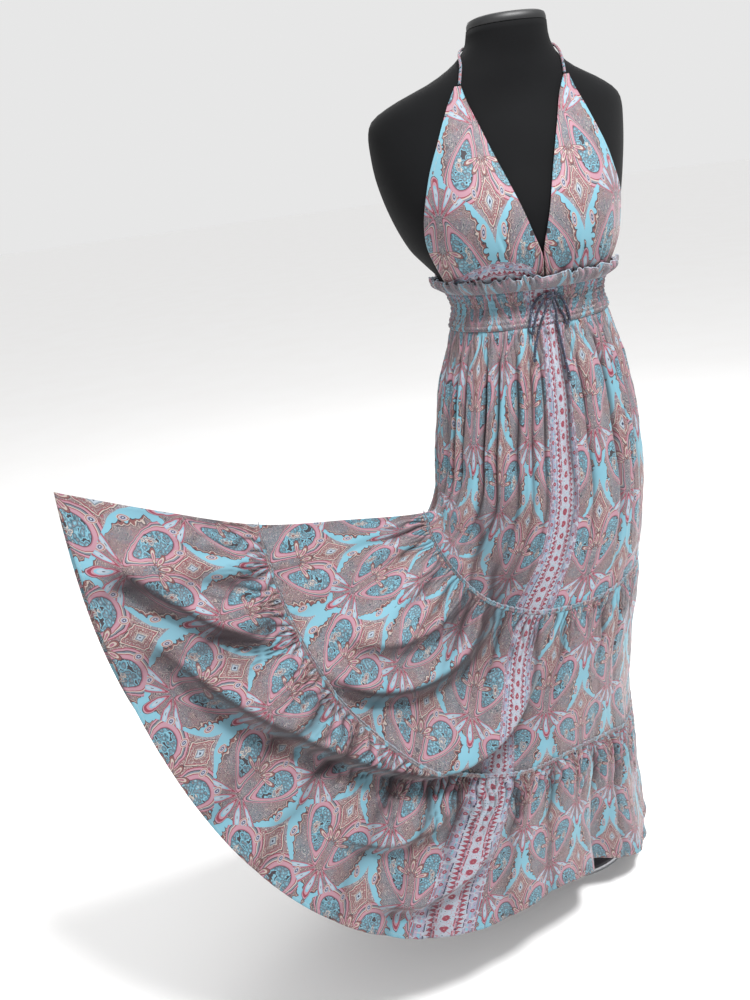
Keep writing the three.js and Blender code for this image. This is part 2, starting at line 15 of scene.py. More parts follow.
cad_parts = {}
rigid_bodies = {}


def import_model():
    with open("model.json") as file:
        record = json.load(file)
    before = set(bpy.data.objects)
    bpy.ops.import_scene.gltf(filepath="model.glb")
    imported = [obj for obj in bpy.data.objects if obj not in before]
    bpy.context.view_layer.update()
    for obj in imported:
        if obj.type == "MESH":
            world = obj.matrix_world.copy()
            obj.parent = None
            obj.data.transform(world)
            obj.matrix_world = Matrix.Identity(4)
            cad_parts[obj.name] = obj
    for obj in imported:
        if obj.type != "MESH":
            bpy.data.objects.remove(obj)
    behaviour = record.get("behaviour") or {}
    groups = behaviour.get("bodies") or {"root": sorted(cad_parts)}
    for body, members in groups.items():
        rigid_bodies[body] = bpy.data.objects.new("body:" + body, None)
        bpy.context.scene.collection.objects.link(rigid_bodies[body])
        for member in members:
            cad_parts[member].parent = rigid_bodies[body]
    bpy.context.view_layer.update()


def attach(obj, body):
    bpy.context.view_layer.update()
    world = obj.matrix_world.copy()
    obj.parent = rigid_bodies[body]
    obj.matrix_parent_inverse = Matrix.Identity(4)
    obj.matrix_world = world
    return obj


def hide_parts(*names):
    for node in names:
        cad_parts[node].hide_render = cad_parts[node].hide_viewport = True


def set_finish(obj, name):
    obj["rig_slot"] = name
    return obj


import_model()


def in_scene(name, data):
    piece = bpy.data.objects.new(name, data)
    bpy.context.scene.collection.objects.link(piece)
    return piece


def mesh_of(name, bm):
    """The mesh that a bmesh has shaped. The bmesh is freed."""
    mesh = bpy.data.meshes.new(name)
    bm.to_mesh(mesh)
    bm.free()
    return mesh


# %% [markdown]
# ## Camera
# The picture was taken from close by and a little above, with the camera turned and tipped. A camera
# can be placed by eye, but three angles and a distance in named values are easier to correct. Blender
# wants the camera's own right, up and back directions as the columns of a matrix.

# %% Camera
EYE = Vector((-0.44, -1.42, 1.285))
TURN, TIP, ROLL = (math.radians(a) for a in (6.2, 19.8, -7.4))
IMAGE_HEIGHT_PIXELS, FOCAL_PIXELS, SENSOR_MM = 1000, 900, 36

ahead = Vector((math.sin(TURN) * math.cos(TIP), math.cos(TURN) * math.cos(TIP), -math.sin(TIP)))
level = Vector((math.cos(TURN), -math.sin(TURN), 0))
upward = level.cross(ahead)
right = level * math.cos(ROLL) + upward * math.sin(ROLL)
up = upward * math.cos(ROLL) - level * math.sin(ROLL)

camera = in_scene("camera", bpy.data.cameras.new("camera"))
camera.matrix_world = Matrix.Translation(EYE) @ Matrix((right, up, -ahead)).transposed().to_4x4()
camera.data.sensor_width = SENSOR_MM
camera.data.lens = SENSOR_MM * FOCAL_PIXELS / IMAGE_HEIGHT_PIXELS
bpy.context.scene.camera = camera
print("lens", camera.data.lens, "mm")

# %% [markdown]
# ## Smooth lines and tables
# The frame's forms come from short tables, and the shells repeat them. A table's columns are read
# between its rows by a smooth curve that passes through every row. Cords, straps and creases follow
# a curve through a few points, which is cut into steps of equal length.

# %% Smooth lines and tables
MM = 0.001
CURVE_CUTS = 60  # from knot to knot, before the steps are made equal


def table(columns, rows):
    return [dict(zip(columns.split(), row)) for row in rows]


def ease(v):
    v = np.clip(v, 0, 1)
    return v * v * (3 - 2 * v)


def lerp(a, b, share):
    return a + (b - a) * share


def column_at(rows, by, column, at):
    keys = np.array([row[by] for row in rows], float)
    values = np.array([row[column] for row in rows], float)
    last = len(rows) - 1
    low, high = np.maximum(np.arange(last + 1) - 1, 0), np.minimum(np.arange(last + 1) + 1, last)
    slopes = (values[high] - values[low]) / (keys[high] - keys[low])
    i = np.searchsorted(keys[1:-1], at)
    step = keys[i + 1] - keys[i]
    u = np.clip((at - keys[i]) / step, 0, 1)
    return ((2 * u**3 - 3 * u**2 + 1) * values[i] + (u**3 - 2 * u**2 + u) * step * slopes[i]
            + (3 * u**2 - 2 * u**3) * values[i + 1] + (u**3 - u**2) * step * slopes[i + 1])


def line_through(knots, steps):
    """Points at equal steps along a smooth curve through the knots."""
    p = np.array(knots, float)
    p = np.vstack([2 * p[0] - p[1], p, 2 * p[-1] - p[-2]])
    gaps = np.linalg.norm(np.diff(p, axis=0), axis=1) ** 0.5
    dense = []
    for k in range(1, len(p) - 2):
        a, b, c, d = p[k - 1:k + 3]
        g0, g1, g2 = gaps[k - 1:k + 2]
        start = ((b - a) / g0 - (c - a) / (g0 + g1) + (c - b) / g1) * g1
        end = ((c - b) / g1 - (d - b) / (g1 + g2) + (d - c) / g2) * g1
        for u in np.linspace(0, 1, CURVE_CUTS, endpoint=False):
            dense.append(b + start * u + (3 * (c - b) - 2 * start - end) * u**2
                         + (2 * (b - c) + start + end) * u**3)
    dense = np.array(dense + [p[-2]])
    along = np.concatenate([[0], np.cumsum(np.linalg.norm(np.diff(dense, axis=0), axis=1))])
    at = np.linspace(0, along[-1], steps + 1)
    return np.stack([np.interp(at, along, dense[:, i]) for i in range(p.shape[1])], axis=1)


print("a curve of three knots:", line_through([[0, 0], [1, 1], [2, 0]], 4).round(2).tolist())

# %% [markdown]
# ## The skirt's form
# The skirt hangs straight on the wearer's left and is pulled out and up on the right. It can be
# thought of as rings that grow down the cloth: level under the form, then climbing to the ridge that
# the held hem makes. The same ring table as the frame's keeps each shell on its solid.

# %% The skirt's form
TIER_ONE_END, TIER_TWO_END, HEM = 450, 750, 1050  # millimetres of cloth below the waist seam
SEAM = 0.3  # the gap between two pieces
HELD_TURN = math.radians(20)
SKIRT_RINGS = table("s right bend ridge rightZ bendZ ridgeZ front back", [
    [0, -140, 0, 136, 1040, 1040, 1040, 101, 98],
    [110, -164, 20, 162, 927, 926, 925, 128, 122],
    [220, -178, 30, 178, 820, 816, 820, 152, 140],
    [330, -174, 60, 192, 718, 708, 774, 168, 146],
    [450, -158, 90, 232, 625, 608, 764, 178, 150],
    [600, -148, 120, 370, 468, 472, 792, 186, 156],
    [750, -148, 140, 510, 310, 362, 826, 194, 164],
    [900, -164, 180, 645, 165, 252, 886, 210, 176],
    [1050, -184, 220, 775, 22, 138, 950, 225, 190],
])
RING_SHAPES = table("s square share", [
    [0, 2.2, 0.41], [220, 2.2, 0.385], [330, 2.6, 0.375], [450, 3, 0.385],
    [600, 2.6, 0.48], [750, 2.4, 0.55], [1050, 2.35, 0.62],
])
RING_SAMPLES = 400
HELD = np.array([-math.cos(HELD_TURN), -math.sin(HELD_TURN), 0])
FRONT = np.array([math.sin(HELD_TURN), -math.cos(HELD_TURN), 0])


def half_ring(s, side):
    """Points [t, n, z] of half a ring, and the length along it at each, in millimetres."""
    get = lambda column: float(column_at(SKIRT_RINGS, "s", column, s))
    right, bend, ridge = get("right"), get("bend"), get("ridge")
    reach = get("front") if side > 0 else -get("back")
    square = float(column_at(RING_SHAPES, "s", "square", s))
    angle = np.linspace(0, math.pi, RING_SAMPLES)
    t = right + (ridge - right) * (1 + np.cos(angle)) / 2
    climb = np.clip((t - bend) / (ridge - bend), 0, 1)
    rise = 1 - (1 - climb**square) ** (1 / square)
    z = lerp(get("rightZ"), get("bendZ"), ease((t - right) / (bend - right)))
    points = np.stack([t, reach * np.sin(angle), z + (get("ridgeZ") - get("bendZ")) * rise], axis=1)
    length = np.concatenate([[0], np.cumsum(np.linalg.norm(np.diff(points, axis=0), axis=1))])
    return points, length


def smooth_skirt(x, s, side):
    """Points [t, n, z] at shares x of one half ring. Past an end it runs on into the other half."""
    points, length = half_ring(s, side)
    share = float(column_at(RING_SHAPES, "s", "share", s))
    h = np.where(x < 0, -x, np.where(x > 1, 2 - x, x))
    wanted = (h + 4 * (share - 0.5) * h * (1 - h)) * length[-1]
    found = np.stack([np.interp(wanted, length, points[:, i]) for i in range(3)], axis=1)
    found[:, 1] *= np.where((x < 0) | (x > 1), -1, 1)
    return found


def to_world(p):
    return (p[:, :1] * HELD + p[:, 1:2] * FRONT + p[:, 2:] * [0, 0, 1]) * MM


print("front half ring at the hem:", round(half_ring(HEM, 1)[1][-1]), "mm")

# %% [markdown]
# ## Creases
# A pulled skirt makes swags: long rolls of cloth that hang between the waist and the held hem, each
# with a dark trough under it. A cloth simulation would choose its own, so each is drawn as a curve
# in the plane of the skirt instead, with a height for its roll and a depth for its trough. Just
# under each roll's lip a dark line is painted on the cloth as painted shade, with painted shadow
# fading below it.

# %% Swags and flutes
SWAGS = table("side rise trough roll knots", [
    [1, 16, 10, 66, [[165, 830], [185, 710], [230, 640], [320, 605], [400, 620], [440, 665]]],
    [1, 21, 13, 62, [[165, 720], [195, 640], [245, 575], [330, 545], [420, 560], [500, 625]]],
    [1, 28, 18, 86, [[140, 590], [185, 500], [250, 440], [340, 420], [430, 455], [520, 520],
                     [620, 615], [740, 780]]],
    [1, 19, 13, 58, [[735, 850], [660, 765], [590, 700], [520, 655]]],
    [1, 12, 8, 56, [[320, 385], [370, 350], [450, 345], [540, 390]]],
    [1, 12, 8, 56, [[280, 290], [350, 250], [430, 240], [520, 280]]],
    [-1, 16, 9, 80, [[150, 780], [190, 660], [280, 590], [380, 590], [470, 650]]],
    [-1, 24, 13, 90, [[130, 620], [180, 500], [280, 420], [400, 430], [540, 520], [680, 660]]],
    [-1, 14, 8, 70, [[260, 310], [360, 270], [480, 290], [600, 380]]],
])
SWAG_LIP, TROUGH_ROLL, SWAG_STEPS = 24, 0.8, 40
# The swag's painted shade: a dark line SHADE_AT below the roll and SHADE_LINE wide, then painted
# shadow that fades over SHADE_BELOW at BELOW_SHARE strength. It is full once a swag's rise reaches
# FULL_RISE.
SHADE_AT, SHADE_LINE, SHADE_BELOW = 7, 4.2, 30  # millimetres below the roll
BELOW_SHARE, FULL_RISE = 0.68, 20
FLUTES = table("side x half start depth", [
    [1, 0.7, 0.045, 730, -30], [1, 0.78, 0.05, 480, 12], [1, 0.88, 0.04, 520, -14],
    [-1, 0.62, 0.05, 600, -20], [-1, 0.84, 0.05, 480, 14],
])


def swag_lift(swag, t, z):
    """How far one swag moves the cloth, up over its crease and down under it, and its shade."""
    curve = line_through(swag["knots"], SWAG_STEPS)
    nearest, along, above = np.full(t.shape, np.inf), np.zeros(t.shape), np.zeros(t.shape, bool)
    for k, (a, b) in enumerate(zip(curve[:-1], curve[1:])):
        d = b - a
        u = np.clip(((t - a[0]) * d[0] + (z - a[1]) * d[1]) / (d @ d), 0, 1)
        ex, ez = t - a[0] - u * d[0], z - a[1] - u * d[1]
        distance = np.hypot(ex, ez)
        closer = distance < nearest
        nearest = np.where(closer, distance, nearest)
        along = np.where(closer, (k + u) / (len(curve) - 1), along)
        above = np.where(closer, d[0] * ez - d[1] * ex > 0, above)
    leftward = curve[-1][0] > curve[0][0]
    q = np.where(above == leftward, nearest, -nearest)
    rise, trough = swag["rise"], swag["trough"]
    roll = rise * (1 - ease(q / swag["roll"]))
    lip = lerp(rise, -trough, ease(-q / SWAG_LIP))
    valley = -trough * (1 - ease((-q - SWAG_LIP) / (TROUGH_ROLL * swag["roll"])))
    lift = np.where(q > 0, roll, np.where(q > -SWAG_LIP, lip, valley))
    ends = ease(along / 0.2) * ease((1 - along) / 0.25)
    # Painted shade: a dark line just under the roll's lip, and painted shadow fading below it.
    line = np.exp(-(((q + SHADE_AT) / SHADE_LINE) ** 2))
    below = BELOW_SHARE * np.exp(-np.abs(q + SHADE_AT) / SHADE_BELOW) * (q < -SHADE_AT)
    return lift * ends, np.maximum(line, below) * ends * min(1, rise / FULL_RISE)


def flute_lift(x, s, side):
    return sum(f["depth"] * (1 - ease(np.abs(x - f["x"]) / f["half"]))
               * ease((s - f["start"]) / (HEM - f["start"])) for f in FLUTES if f["side"] == side)


print(len(SWAGS), "swags and", len(FLUTES), "flutes")

# %% [markdown]
# ## Pleats and gathers
# Cloth that is sewn full to a shorter edge stands in small uneven pleats. The top tier's run down to
# its lower seam, and the other two tiers' die out within a hand's width. Real gathers are never
# regular, so slow waves change the spacing, the height and the length of each.

# %% Pleats and gathers
TIERS = table("name start end full at last over pleats gather reach flat stripe lean narrow", [
    ["tier1", 0, TIER_ONE_END, 5.6, 0.2, 0.8, 1, 15, 1.4, 90, 0.70, 0.500, 0, 1.27],
    ["tier2", TIER_ONE_END, TIER_TWO_END, 3.4, 0.15, 0.8, 0.5, 15, 2.5, 95, 1.00, 0.500, -0.005, 1.6],
    ["tier3", TIER_TWO_END, HEM, 4.8, 0.15, 2.0, 0.6, 15, 3.8, 130, 1.65, 0.490, -0.035, 0.7],
])
GATHER_PITCH = 13  # millimetres of flat cloth to one small gather
GATHER_START, LOWER_SHARE, LOWER_REACH, LOWER_END = 10, 0.55, 34, 6
SIDE_FADE = 0.03


def wave(turns):
    return np.sin(2 * math.pi * turns)


def pleat_lift(tier, x, s, side):
    down = np.clip((s - tier["start"]) / (tier["end"] - tier["start"]), 0, 1)
    swell = np.where(down < tier["at"], tier["full"] * ease(down / tier["at"]),
                     lerp(tier["full"], tier["last"],
                          ease((down - tier["at"]) / (tier["over"] - tier["at"]))))
    uneven = 1 + 0.35 * wave(3.3 * x + 0.2) * wave(5.1 * x) + 0.2 * wave(7.7 * x + 0.4 + 0.6 * down)
    count = tier["pleats"] - (3 if side < 0 else 0)
    phase = (count * x + 0.24 * wave(2.3 * x + 0.1) + 0.17 * wave(6.1 * x + 0.5)
             + 0.05 * wave(3 * down))
    valley = 1 - np.abs(np.sin(math.pi * phase))
    second = 0.28 * wave(2.6 * phase + 0.4 * wave(4.3 * x)) * ease(down / 0.1)
    # The second value is painted shade in the pleat's valley.
    return swell * uneven * (1 - 2.1 * valley**2.2 + second), valley**2.4 * swell / 4


def gather_lift(tier, x, s):
    """Small gathers below the tier's upper seam, each with its own length, and their shade."""
    count = tier["flat"] * 1000 / GATHER_PITCH
    reach = tier["reach"] * (1 + 0.45 * wave(count * x / 7.3) + 0.3 * wave(count * x / 3.1 + 0.3))
    below, above = s - tier["start"], tier["end"] - s
    fade = ease(below / GATHER_START) * (1 - ease(below / reach))
    phase = count * x + 0.5 * wave(count * x / 5.7) + 0.35 * wave(s / 70 + 9 * x)
    lower = (tier["gather"] * LOWER_SHARE * (1 - ease(above / LOWER_REACH))
             * ease(above / LOWER_END))
    valley = np.clip(-wave(phase), 0, 1) ** 2 * fade
    # The second value is painted shade in the gather's valley.
    return tier["gather"] * fade * wave(phase) + lower * wave(count * x * 1.31 + 0.3), valley


def crumple_lift(x, s, side):
    """Faint soft unevenness of thin cloth, in millimetres."""
    slow = wave(4.1 * x + s / 310 + 0.2 * side) * wave(2.3 * x - s / 190)
    fine = wave(17 * x + s / 83 + 0.6 * wave(5 * x)) * wave(s / 47 - 6 * x)
    return 1.1 * slow + 0.5 * fine


print("gathers on the bottom tier's front:", round(TIERS[2]["flat"] * 1000 / GATHER_PITCH))

# %% [markdown]
# ## Sheets of cloth
# A grid is the natural start for cloth: bmesh makes it flat, each vertex is then moved to its place
# in the drape, and a Solidify modifier gives it its thickness. Two UV maps hold flat measurements in
# metres: "cut" for the print, and "border" for the striped band, its first number the distance
# across the band. The attribute "hem" is the distance to the nearest sewn edge, for the stitches,
# and "shade" is how deep in a crease the cloth lies, where the crepe's colour is painted darker as
# painted shade.

# %% Sheets of cloth
CLOTH_THICKNESS = 1.1 * MM
FAR = 1.0  # a "border" or "hem" distance that shows nothing
# How strongly pleat and gather valleys are painted darker as painted shade, and the most painted
# shade anywhere.
PLEAT_SHADE, GATHER_SHADE, DEEPEST_SHADE = 0.75, 0.85, 0.92
HEM_ROLL, HEM_ROLL_HIGH = 0.7, 9


def cloth_sheet(name, columns, rows, place, cut, facing, border=None, hem=None,
                thickness=CLOTH_THICKNESS):
    """A sheet from shares across and down. cut, border and hem turn the shares into metres."""
    bm = bmesh.new()
    bmesh.ops.create_grid(bm, x_segments=columns, y_segments=rows, size=0.5)
    mesh = mesh_of(name, bm)
    flat = np.empty(len(mesh.vertices) * 3)
    mesh.vertices.foreach_get("co", flat)
    flat = flat.reshape(-1, 3).round(6)
    across, down = flat[:, 0] + 0.5, 0.5 - flat[:, 1]
    placed = place(across, down)
    points, shade = placed if isinstance(placed, tuple) else (placed, np.zeros(across.shape))
    mesh.vertices.foreach_set("co", points.ravel())
    mesh.attributes.new("shade", "FLOAT", "POINT").data.foreach_set("value", shade)
    corner = np.empty(len(mesh.loops), int)
    mesh.loops.foreach_get("vertex_index", corner)
    nothing = lambda a, d: (np.full(a.shape, FAR), np.zeros(a.shape))
    for map_name, measure in (("cut", cut), ("border", border or nothing)):
        values = np.stack(measure(across, down), axis=1)[corner]
        mesh.uv_layers.new(name=map_name).data.foreach_set("uv", values.ravel())
    edge = hem(across, down) if hem else np.full(across.shape, FAR)
    mesh.attributes.new("hem", "FLOAT", "POINT").data.foreach_set("value", edge)
    mesh.update()
    normals = np.empty(len(mesh.polygons) * 3)
    mesh.polygons.foreach_get("normal", normals)
    if (normals.reshape(-1, 3) @ np.array(facing)).sum() < 0:
        mesh.flip_normals()
    mesh.polygons.foreach_set("use_smooth", [True] * len(mesh.polygons))
    piece = in_scene(name, mesh)
    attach(piece, "root")
    wall = piece.modifiers.new("cloth", "SOLIDIFY")
    wall.thickness, wall.offset = thickness, 0
    return piece


def unit(v):
    return v / np.linalg.norm(v, axis=1, keepdims=True)


def skirt_normal(x, s, side):
    along = smooth_skirt(x + 0.004, s, side) - smooth_skirt(x - 0.004, s, side)
    down = smooth_skirt(x, s + 3, side) - smooth_skirt(x, s - 3, side)
    return unit(np.cross(down, along)) * side


def draped(tier, x, s, side, raised=0.0):
    """Points of the skirt in metres at shares x and lengths s down the cloth, and their shade."""
    places, shade = np.empty((len(x), 3)), np.empty(len(x))
    for value in np.unique(s):
        row = s == value
        base = smooth_skirt(x[row], value, side)
        swags = [swag_lift(w, base[:, 0], base[:, 2]) for w in SWAGS if w["side"] == side]
        pleats, gathers = pleat_lift(tier, x[row], value, side), gather_lift(tier, x[row], value)
        at_sides = ease(x[row] / SIDE_FADE) * ease((1 - x[row]) / SIDE_FADE)
        lift = (sum(w[0] for w in swags) + flute_lift(x[row], value, side) + pleats[0]
                + gathers[0] + crumple_lift(x[row], value, side))
        # Painted shade from swags, pleats and gathers, kept in the "shade" attribute.
        dark = sum(w[1] for w in swags) + PLEAT_SHADE * pleats[1] + GATHER_SHADE * gathers[1]
        shade[row] = np.clip(dark, 0, DEEPEST_SHADE)
        hem_roll = HEM_ROLL * (1 - ease((HEM - value) / HEM_ROLL_HIGH))
        out = at_sides * lift + hem_roll + (raised[row] if np.ndim(raised) else raised)
        places[row] = to_world(base + skirt_normal(x[row], value, side) * out[:, None])
    return places + FRONT * side * SEAM / 2 * MM, shade


# %% [markdown]
# ## The three tiers
# Each tier is two half tubes that meet at the side seams, as they were sewn. The bottom tier is cut
# more than twice as wide as the top one. The front's columns are about 4 mm of cloth apart, which is
# fine enough for the smallest gather, and the back has fewer.

# %% The three tiers
BACK_DENSITY, FIRST_COLUMNS, MORE_COLUMNS, ROW_HIGH = 0.7, 250, 90, 3.9


def add_tier(tier, side):
    start, end = tier["start"] + SEAM / 2, tier["end"] - SEAM / 2
    name = f"{tier['name']}_{'front' if side > 0 else 'back'}_cloth"
    density = 1 if side > 0 else BACK_DENSITY
    columns = int(density * (FIRST_COLUMNS + MORE_COLUMNS * TIERS.index(tier)))
    rows = int(density * (end - start) / ROW_HIGH)
    down_to_s = lambda down: np.round(lerp(start, end, down), 3)
    cut = lambda across, down: ((across - 0.5) * tier["flat"], -down_to_s(down) * MM)
    stripe = lambda across, down: (
        (across - tier["stripe"] - tier["lean"] * down) * tier["flat"] * tier["narrow"],
        -down_to_s(down) * MM)
    hem = (lambda across, down: (HEM - down_to_s(down)) * MM) if end > HEM - 1 else None
    piece = cloth_sheet(
        name, columns, rows, lambda across, down: draped(tier, across, down_to_s(down), side),
        cut, FRONT * side, border=stripe if side > 0 else None, hem=hem)
    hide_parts(name.replace("_cloth", ""))
    (tier["end"] - tier["start"]) * MM
    "waistband_front_cloth" if tier["start"] == 0 else "tier1_front_cloth"
    print(name, len(piece.data.polygons), "faces")
    return piece


tiers = [add_tier(tier, side) for tier in TIERS for side in (1, -1)]

# %% [markdown]
# ## Gathered seam edges
# Where a full tier is sewn to a narrower one, the raw edge of the gathers shows as a thin crimped
# frill along the seam. It is a strip of the same sheet, lifted a little off the skirt and crimped.

# %% Gathered seam edges
FRILL = table("up out crimp", [[-4, 0.8, 0], [0, 1.6, 0.5], [5, 2.4, 1.4]])
FRILL_PITCH, FRILL_COLUMNS, FRILL_FLAT = 8, 440, 0.9


def add_seam_frill(tier, side):
    """A crimped strip 9 mm high, over the seam at the tier's top."""
    count = tier["flat"] * 1000 / FRILL_PITCH
    lower, upper = FRILL[0]["up"], FRILL[-1]["up"]
    up_at = lambda down: np.round(lerp(upper, lower, down), 3)

    def place(across, down):
        up_by = up_at(down)
        crimp = column_at(FRILL, "up", "crimp", up_by)
        phase = count * across + 0.4 * wave(count * across / 6.3)
        fade = ease(across / SIDE_FADE) * ease((1 - across) / SIDE_FADE)
        raised = (column_at(FRILL, "up", "out", up_by) + crimp * wave(phase)) * fade
        jag = wave(phase / 2 + 0.2) * (up_by > upper - 1) * fade
        s = np.round(tier["start"] - up_by, 3)
        points, _ = draped(tier, across, np.maximum(s, tier["start"]), side, raised)
        above = np.maximum(tier["start"] - s, 0)
        points[:, 2] += (above + jag * (above > 0)) * MM
        return points

    name = f"seam_frill_{tier['name']}_{'front' if side > 0 else 'back'}"
    cut = lambda across, down: (
        (across - 0.5) * tier["flat"] * 1.1, (up_at(down) - tier["start"]) * MM)
    piece = cloth_sheet(name, int(tier["flat"] * FRILL_COLUMNS), 4, place, cut, FRONT * side,
                        border=cut, hem=lambda across, down: down * 8 * MM, thickness=0.7 * MM)
    tier["flat"] * FRILL_FLAT
    return piece


frills = [add_seam_frill(tier, side) for tier in TIERS[1:] for side in (1, -1)]
print(len(frills), "seam frills")

# %% [markdown]
# ## The dress form
# The form is a limbless torso in a tight black jersey cover. A lathe shape would be round, but a
# body is flatter in front and back, so each level is its own rounded section. A circle is extruded
# upwards level by level, and its vertices are moved to the section.

# %% The dress form's sections
FORM_SQUARE, FORM_SIDES = 2.25, 96
FORM_SECTIONS = table("z half front back x y", [
    [700, 144, 98, 104, 0, 0], [720, 154, 104, 113, 0, 0], [770, 158, 107, 118, 0, 0],
    [840, 146, 101, 108, 0, 0], [920, 125, 92, 90, 0, 0], [990, 110, 85, 76, 0, 0],
    [1045, 110, 86, 75, 0, 0], [1080, 118, 92, 78, -2, 0], [1115, 131, 112, 84, -5, 6],
    [1140, 147, 134, 84, -10, 14], [1165, 162, 150, 80, -15, 22], [1215, 180, 163, 68, -19, 36],
    [1270, 194, 148, 58, -20, 46], [1315, 199, 130, 52, -20, 48], [1345, 198, 114, 46, -20, 46],
    [1362, 188, 104, 40, -20, 42], [1380, 156, 90, 38, -18, 32], [1400, 108, 74, 46, -14, 18],
    [1420, 77, 62, 54, -10, 8], [1440, 62, 56, 54, -7, 2], [1462, 58, 53, 52, -6, 0],
])


def form_surface(degrees, z):
    """Points on the form in millimetres, by degrees round from the centre front and height."""
    degrees, z = np.broadcast_arrays(np.asarray(degrees, float), np.asarray(z, float))
    get = lambda column: column_at(FORM_SECTIONS, "z", column, z)
    angle = np.radians(degrees)
    rounded = lambda v: np.sign(v) * np.abs(v) ** (2 / FORM_SQUARE)
    reach = np.where(np.cos(angle) > 0, get("front"), get("back"))
    return np.stack([get("x") + get("half") * rounded(np.sin(angle)),
                     get("y") - reach * rounded(np.cos(angle)), z], axis=-1)


def off_form(degrees, z, distance):
    along = form_surface(degrees + 1, z) - form_surface(degrees - 1, z)
    up = form_surface(degrees, z + 2) - form_surface(degrees, z - 2)
    return form_surface(degrees, z) + unit(np.cross(along, up)) * np.asarray(distance)[..., None]


def degrees_at(across, z):
    share = np.minimum(1, across / column_at(FORM_SECTIONS, "z", "half", z))
    return np.degrees(np.arcsin(share ** (FORM_SQUARE / 2)))


def lofted(name, levels):
    """A closed solid from rings of points, each extruded from the last, with filled ends."""
    bm = bmesh.new()
    ring = bmesh.ops.create_circle(bm, segments=len(levels[0]), radius=1)["verts"]
    edges = list({edge for vert in ring for edge in vert.link_edges})
    for vert, place in zip(ring, levels[0]):
        vert.co = Vector(place)
    for level in levels[1:]:
        made = bmesh.ops.extrude_edge_only(bm, edges=edges)["geom"]
        edges = [g for g in made if isinstance(g, bmesh.types.BMEdge)]
        moved = [g for g in made if isinstance(g, bmesh.types.BMVert)]
        before = [next(e.other_vert(v) for e in v.link_edges if e.other_vert(v) not in moved)
                  for v in moved]
        index = {vert: k for k, vert in enumerate(ring)}
        new_ring = [None] * len(ring)
        for vert, old in zip(moved, before):
            new_ring[index[old]] = vert
        ring = new_ring
        for vert, place in zip(ring, level):
            vert.co = Vector(place)
    bmesh.ops.holes_fill(bm, edges=bm.edges[:], sides=len(ring))
    bmesh.ops.recalc_face_normals(bm, faces=bm.faces[:])
    mesh = mesh_of(name, bm)
    mesh.polygons.foreach_set("use_smooth", [len(p.vertices) == 4 for p in mesh.polygons])
    piece = in_scene(name, mesh)
    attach(piece, "root")
    return piece


# %% [markdown]
# ## Torso, neck cap and stand
# The torso's lower edge is rounded over a board, and a low cap closes the neck. Only the foot of the
# steel stand shows under the hem: a thin pole and a flat round base with an eased rim, which a
# profile spun about the pole's axis gives at once.

# %% Torso and neck cap
turn = np.linspace(0, 360, FORM_SIDES, endpoint=False)
top_z = FORM_SECTIONS[-1]["z"]


def form_ring(z, scale=1.0, at=None):
    ring = form_surface(turn, z) * [scale, scale, 1]
    ring[:, 2] = z if at is None else at
    return (ring * MM).tolist()


foot_z = FORM_SECTIONS[0]["z"]
levels = [form_ring(foot_z, 0.86, foot_z - 8), form_ring(foot_z, 0.95, foot_z - 6.5)]
levels += [form_ring(z) for z in np.linspace(foot_z, top_z, 96)]
torso = lofted("torso_cover", levels)
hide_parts("dress_form_torso")
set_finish(torso, "form_cover")

CAP_LEVELS = table("scale z", [[0.975, top_z + SEAM], [0.99, top_z + 2], [0.985, 1468],
                               [0.95, 1473], [0.86, 1475.5], [0.7, 1476]])
cap = lofted("neck_cap_top", [form_ring(top_z, level["scale"], level["z"]) for level in CAP_LEVELS])
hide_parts("neck_cap")
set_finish(cap, "neck_cap")
print("torso", len(torso.data.polygons), "faces")

# %% Stand
STAND_Y, BASE_RADIUS, BASE_HEIGHT, POLE_RADIUS = 20 * MM, 140 * MM, 12 * MM, 12.5 * MM
POLE_TOP = (foot_z - 8 - SEAM) * MM


def spun(name, profile, segments=96):
    """A solid of revolution about the pole's axis, from a profile of radius and height."""
    bm = bmesh.new()
    verts = [bm.verts.new((r, STAND_Y, z)) for r, z in profile]
    edges = [bm.edges.new(pair) for pair in zip(verts[:-1], verts[1:])]
    bmesh.ops.spin(bm, geom=verts + edges, cent=(0, STAND_Y, 0), axis=(0, 0, 1), angle=2 * math.pi,
                   steps=segments, use_merge=True)
    bmesh.ops.remove_doubles(bm, verts=bm.verts[:], dist=1e-6)
    bmesh.ops.recalc_face_normals(bm, faces=bm.faces[:])
    piece = in_scene(name, mesh_of(name, bm))
    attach(piece, "root")
    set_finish(piece, "steel")
    return piece


EASED_RIM = table("inward below", [[0, 6], [1.5, 3], [5, 0.7], [10, 0]])
rim = [(BASE_RADIUS - row["inward"] * MM, BASE_HEIGHT - row["below"] * MM) for row in EASED_RIM]
base = spun("base_disc", [(0, 0), (BASE_RADIUS - MM, 0), (BASE_RADIUS, MM), *rim, (0, BASE_HEIGHT)])
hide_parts("stand_base")
pole_foot = BASE_HEIGHT + SEAM * MM
pole = spun("pole_tube", [
    (0, pole_foot), (POLE_RADIUS, pole_foot), (POLE_RADIUS, pole_foot + MM),
    (POLE_RADIUS, POLE_TOP - MM), (POLE_RADIUS - 0.8 * MM, POLE_TOP), (0, POLE_TOP)], 48)
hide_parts("stand_pole")
print("stand", len(base.data.polygons) + len(pole.data.polygons), "faces")

# %% [markdown]
# ## The cups
# Each cup is one gathered triangle: full over the bust, drawn into the band below it in soft pleats,
# and narrow at the strap. It is a sheet laid off the form's surface, so that it follows the bust, and
# its free edges are turned under twice, which shows as a slightly raised rim.

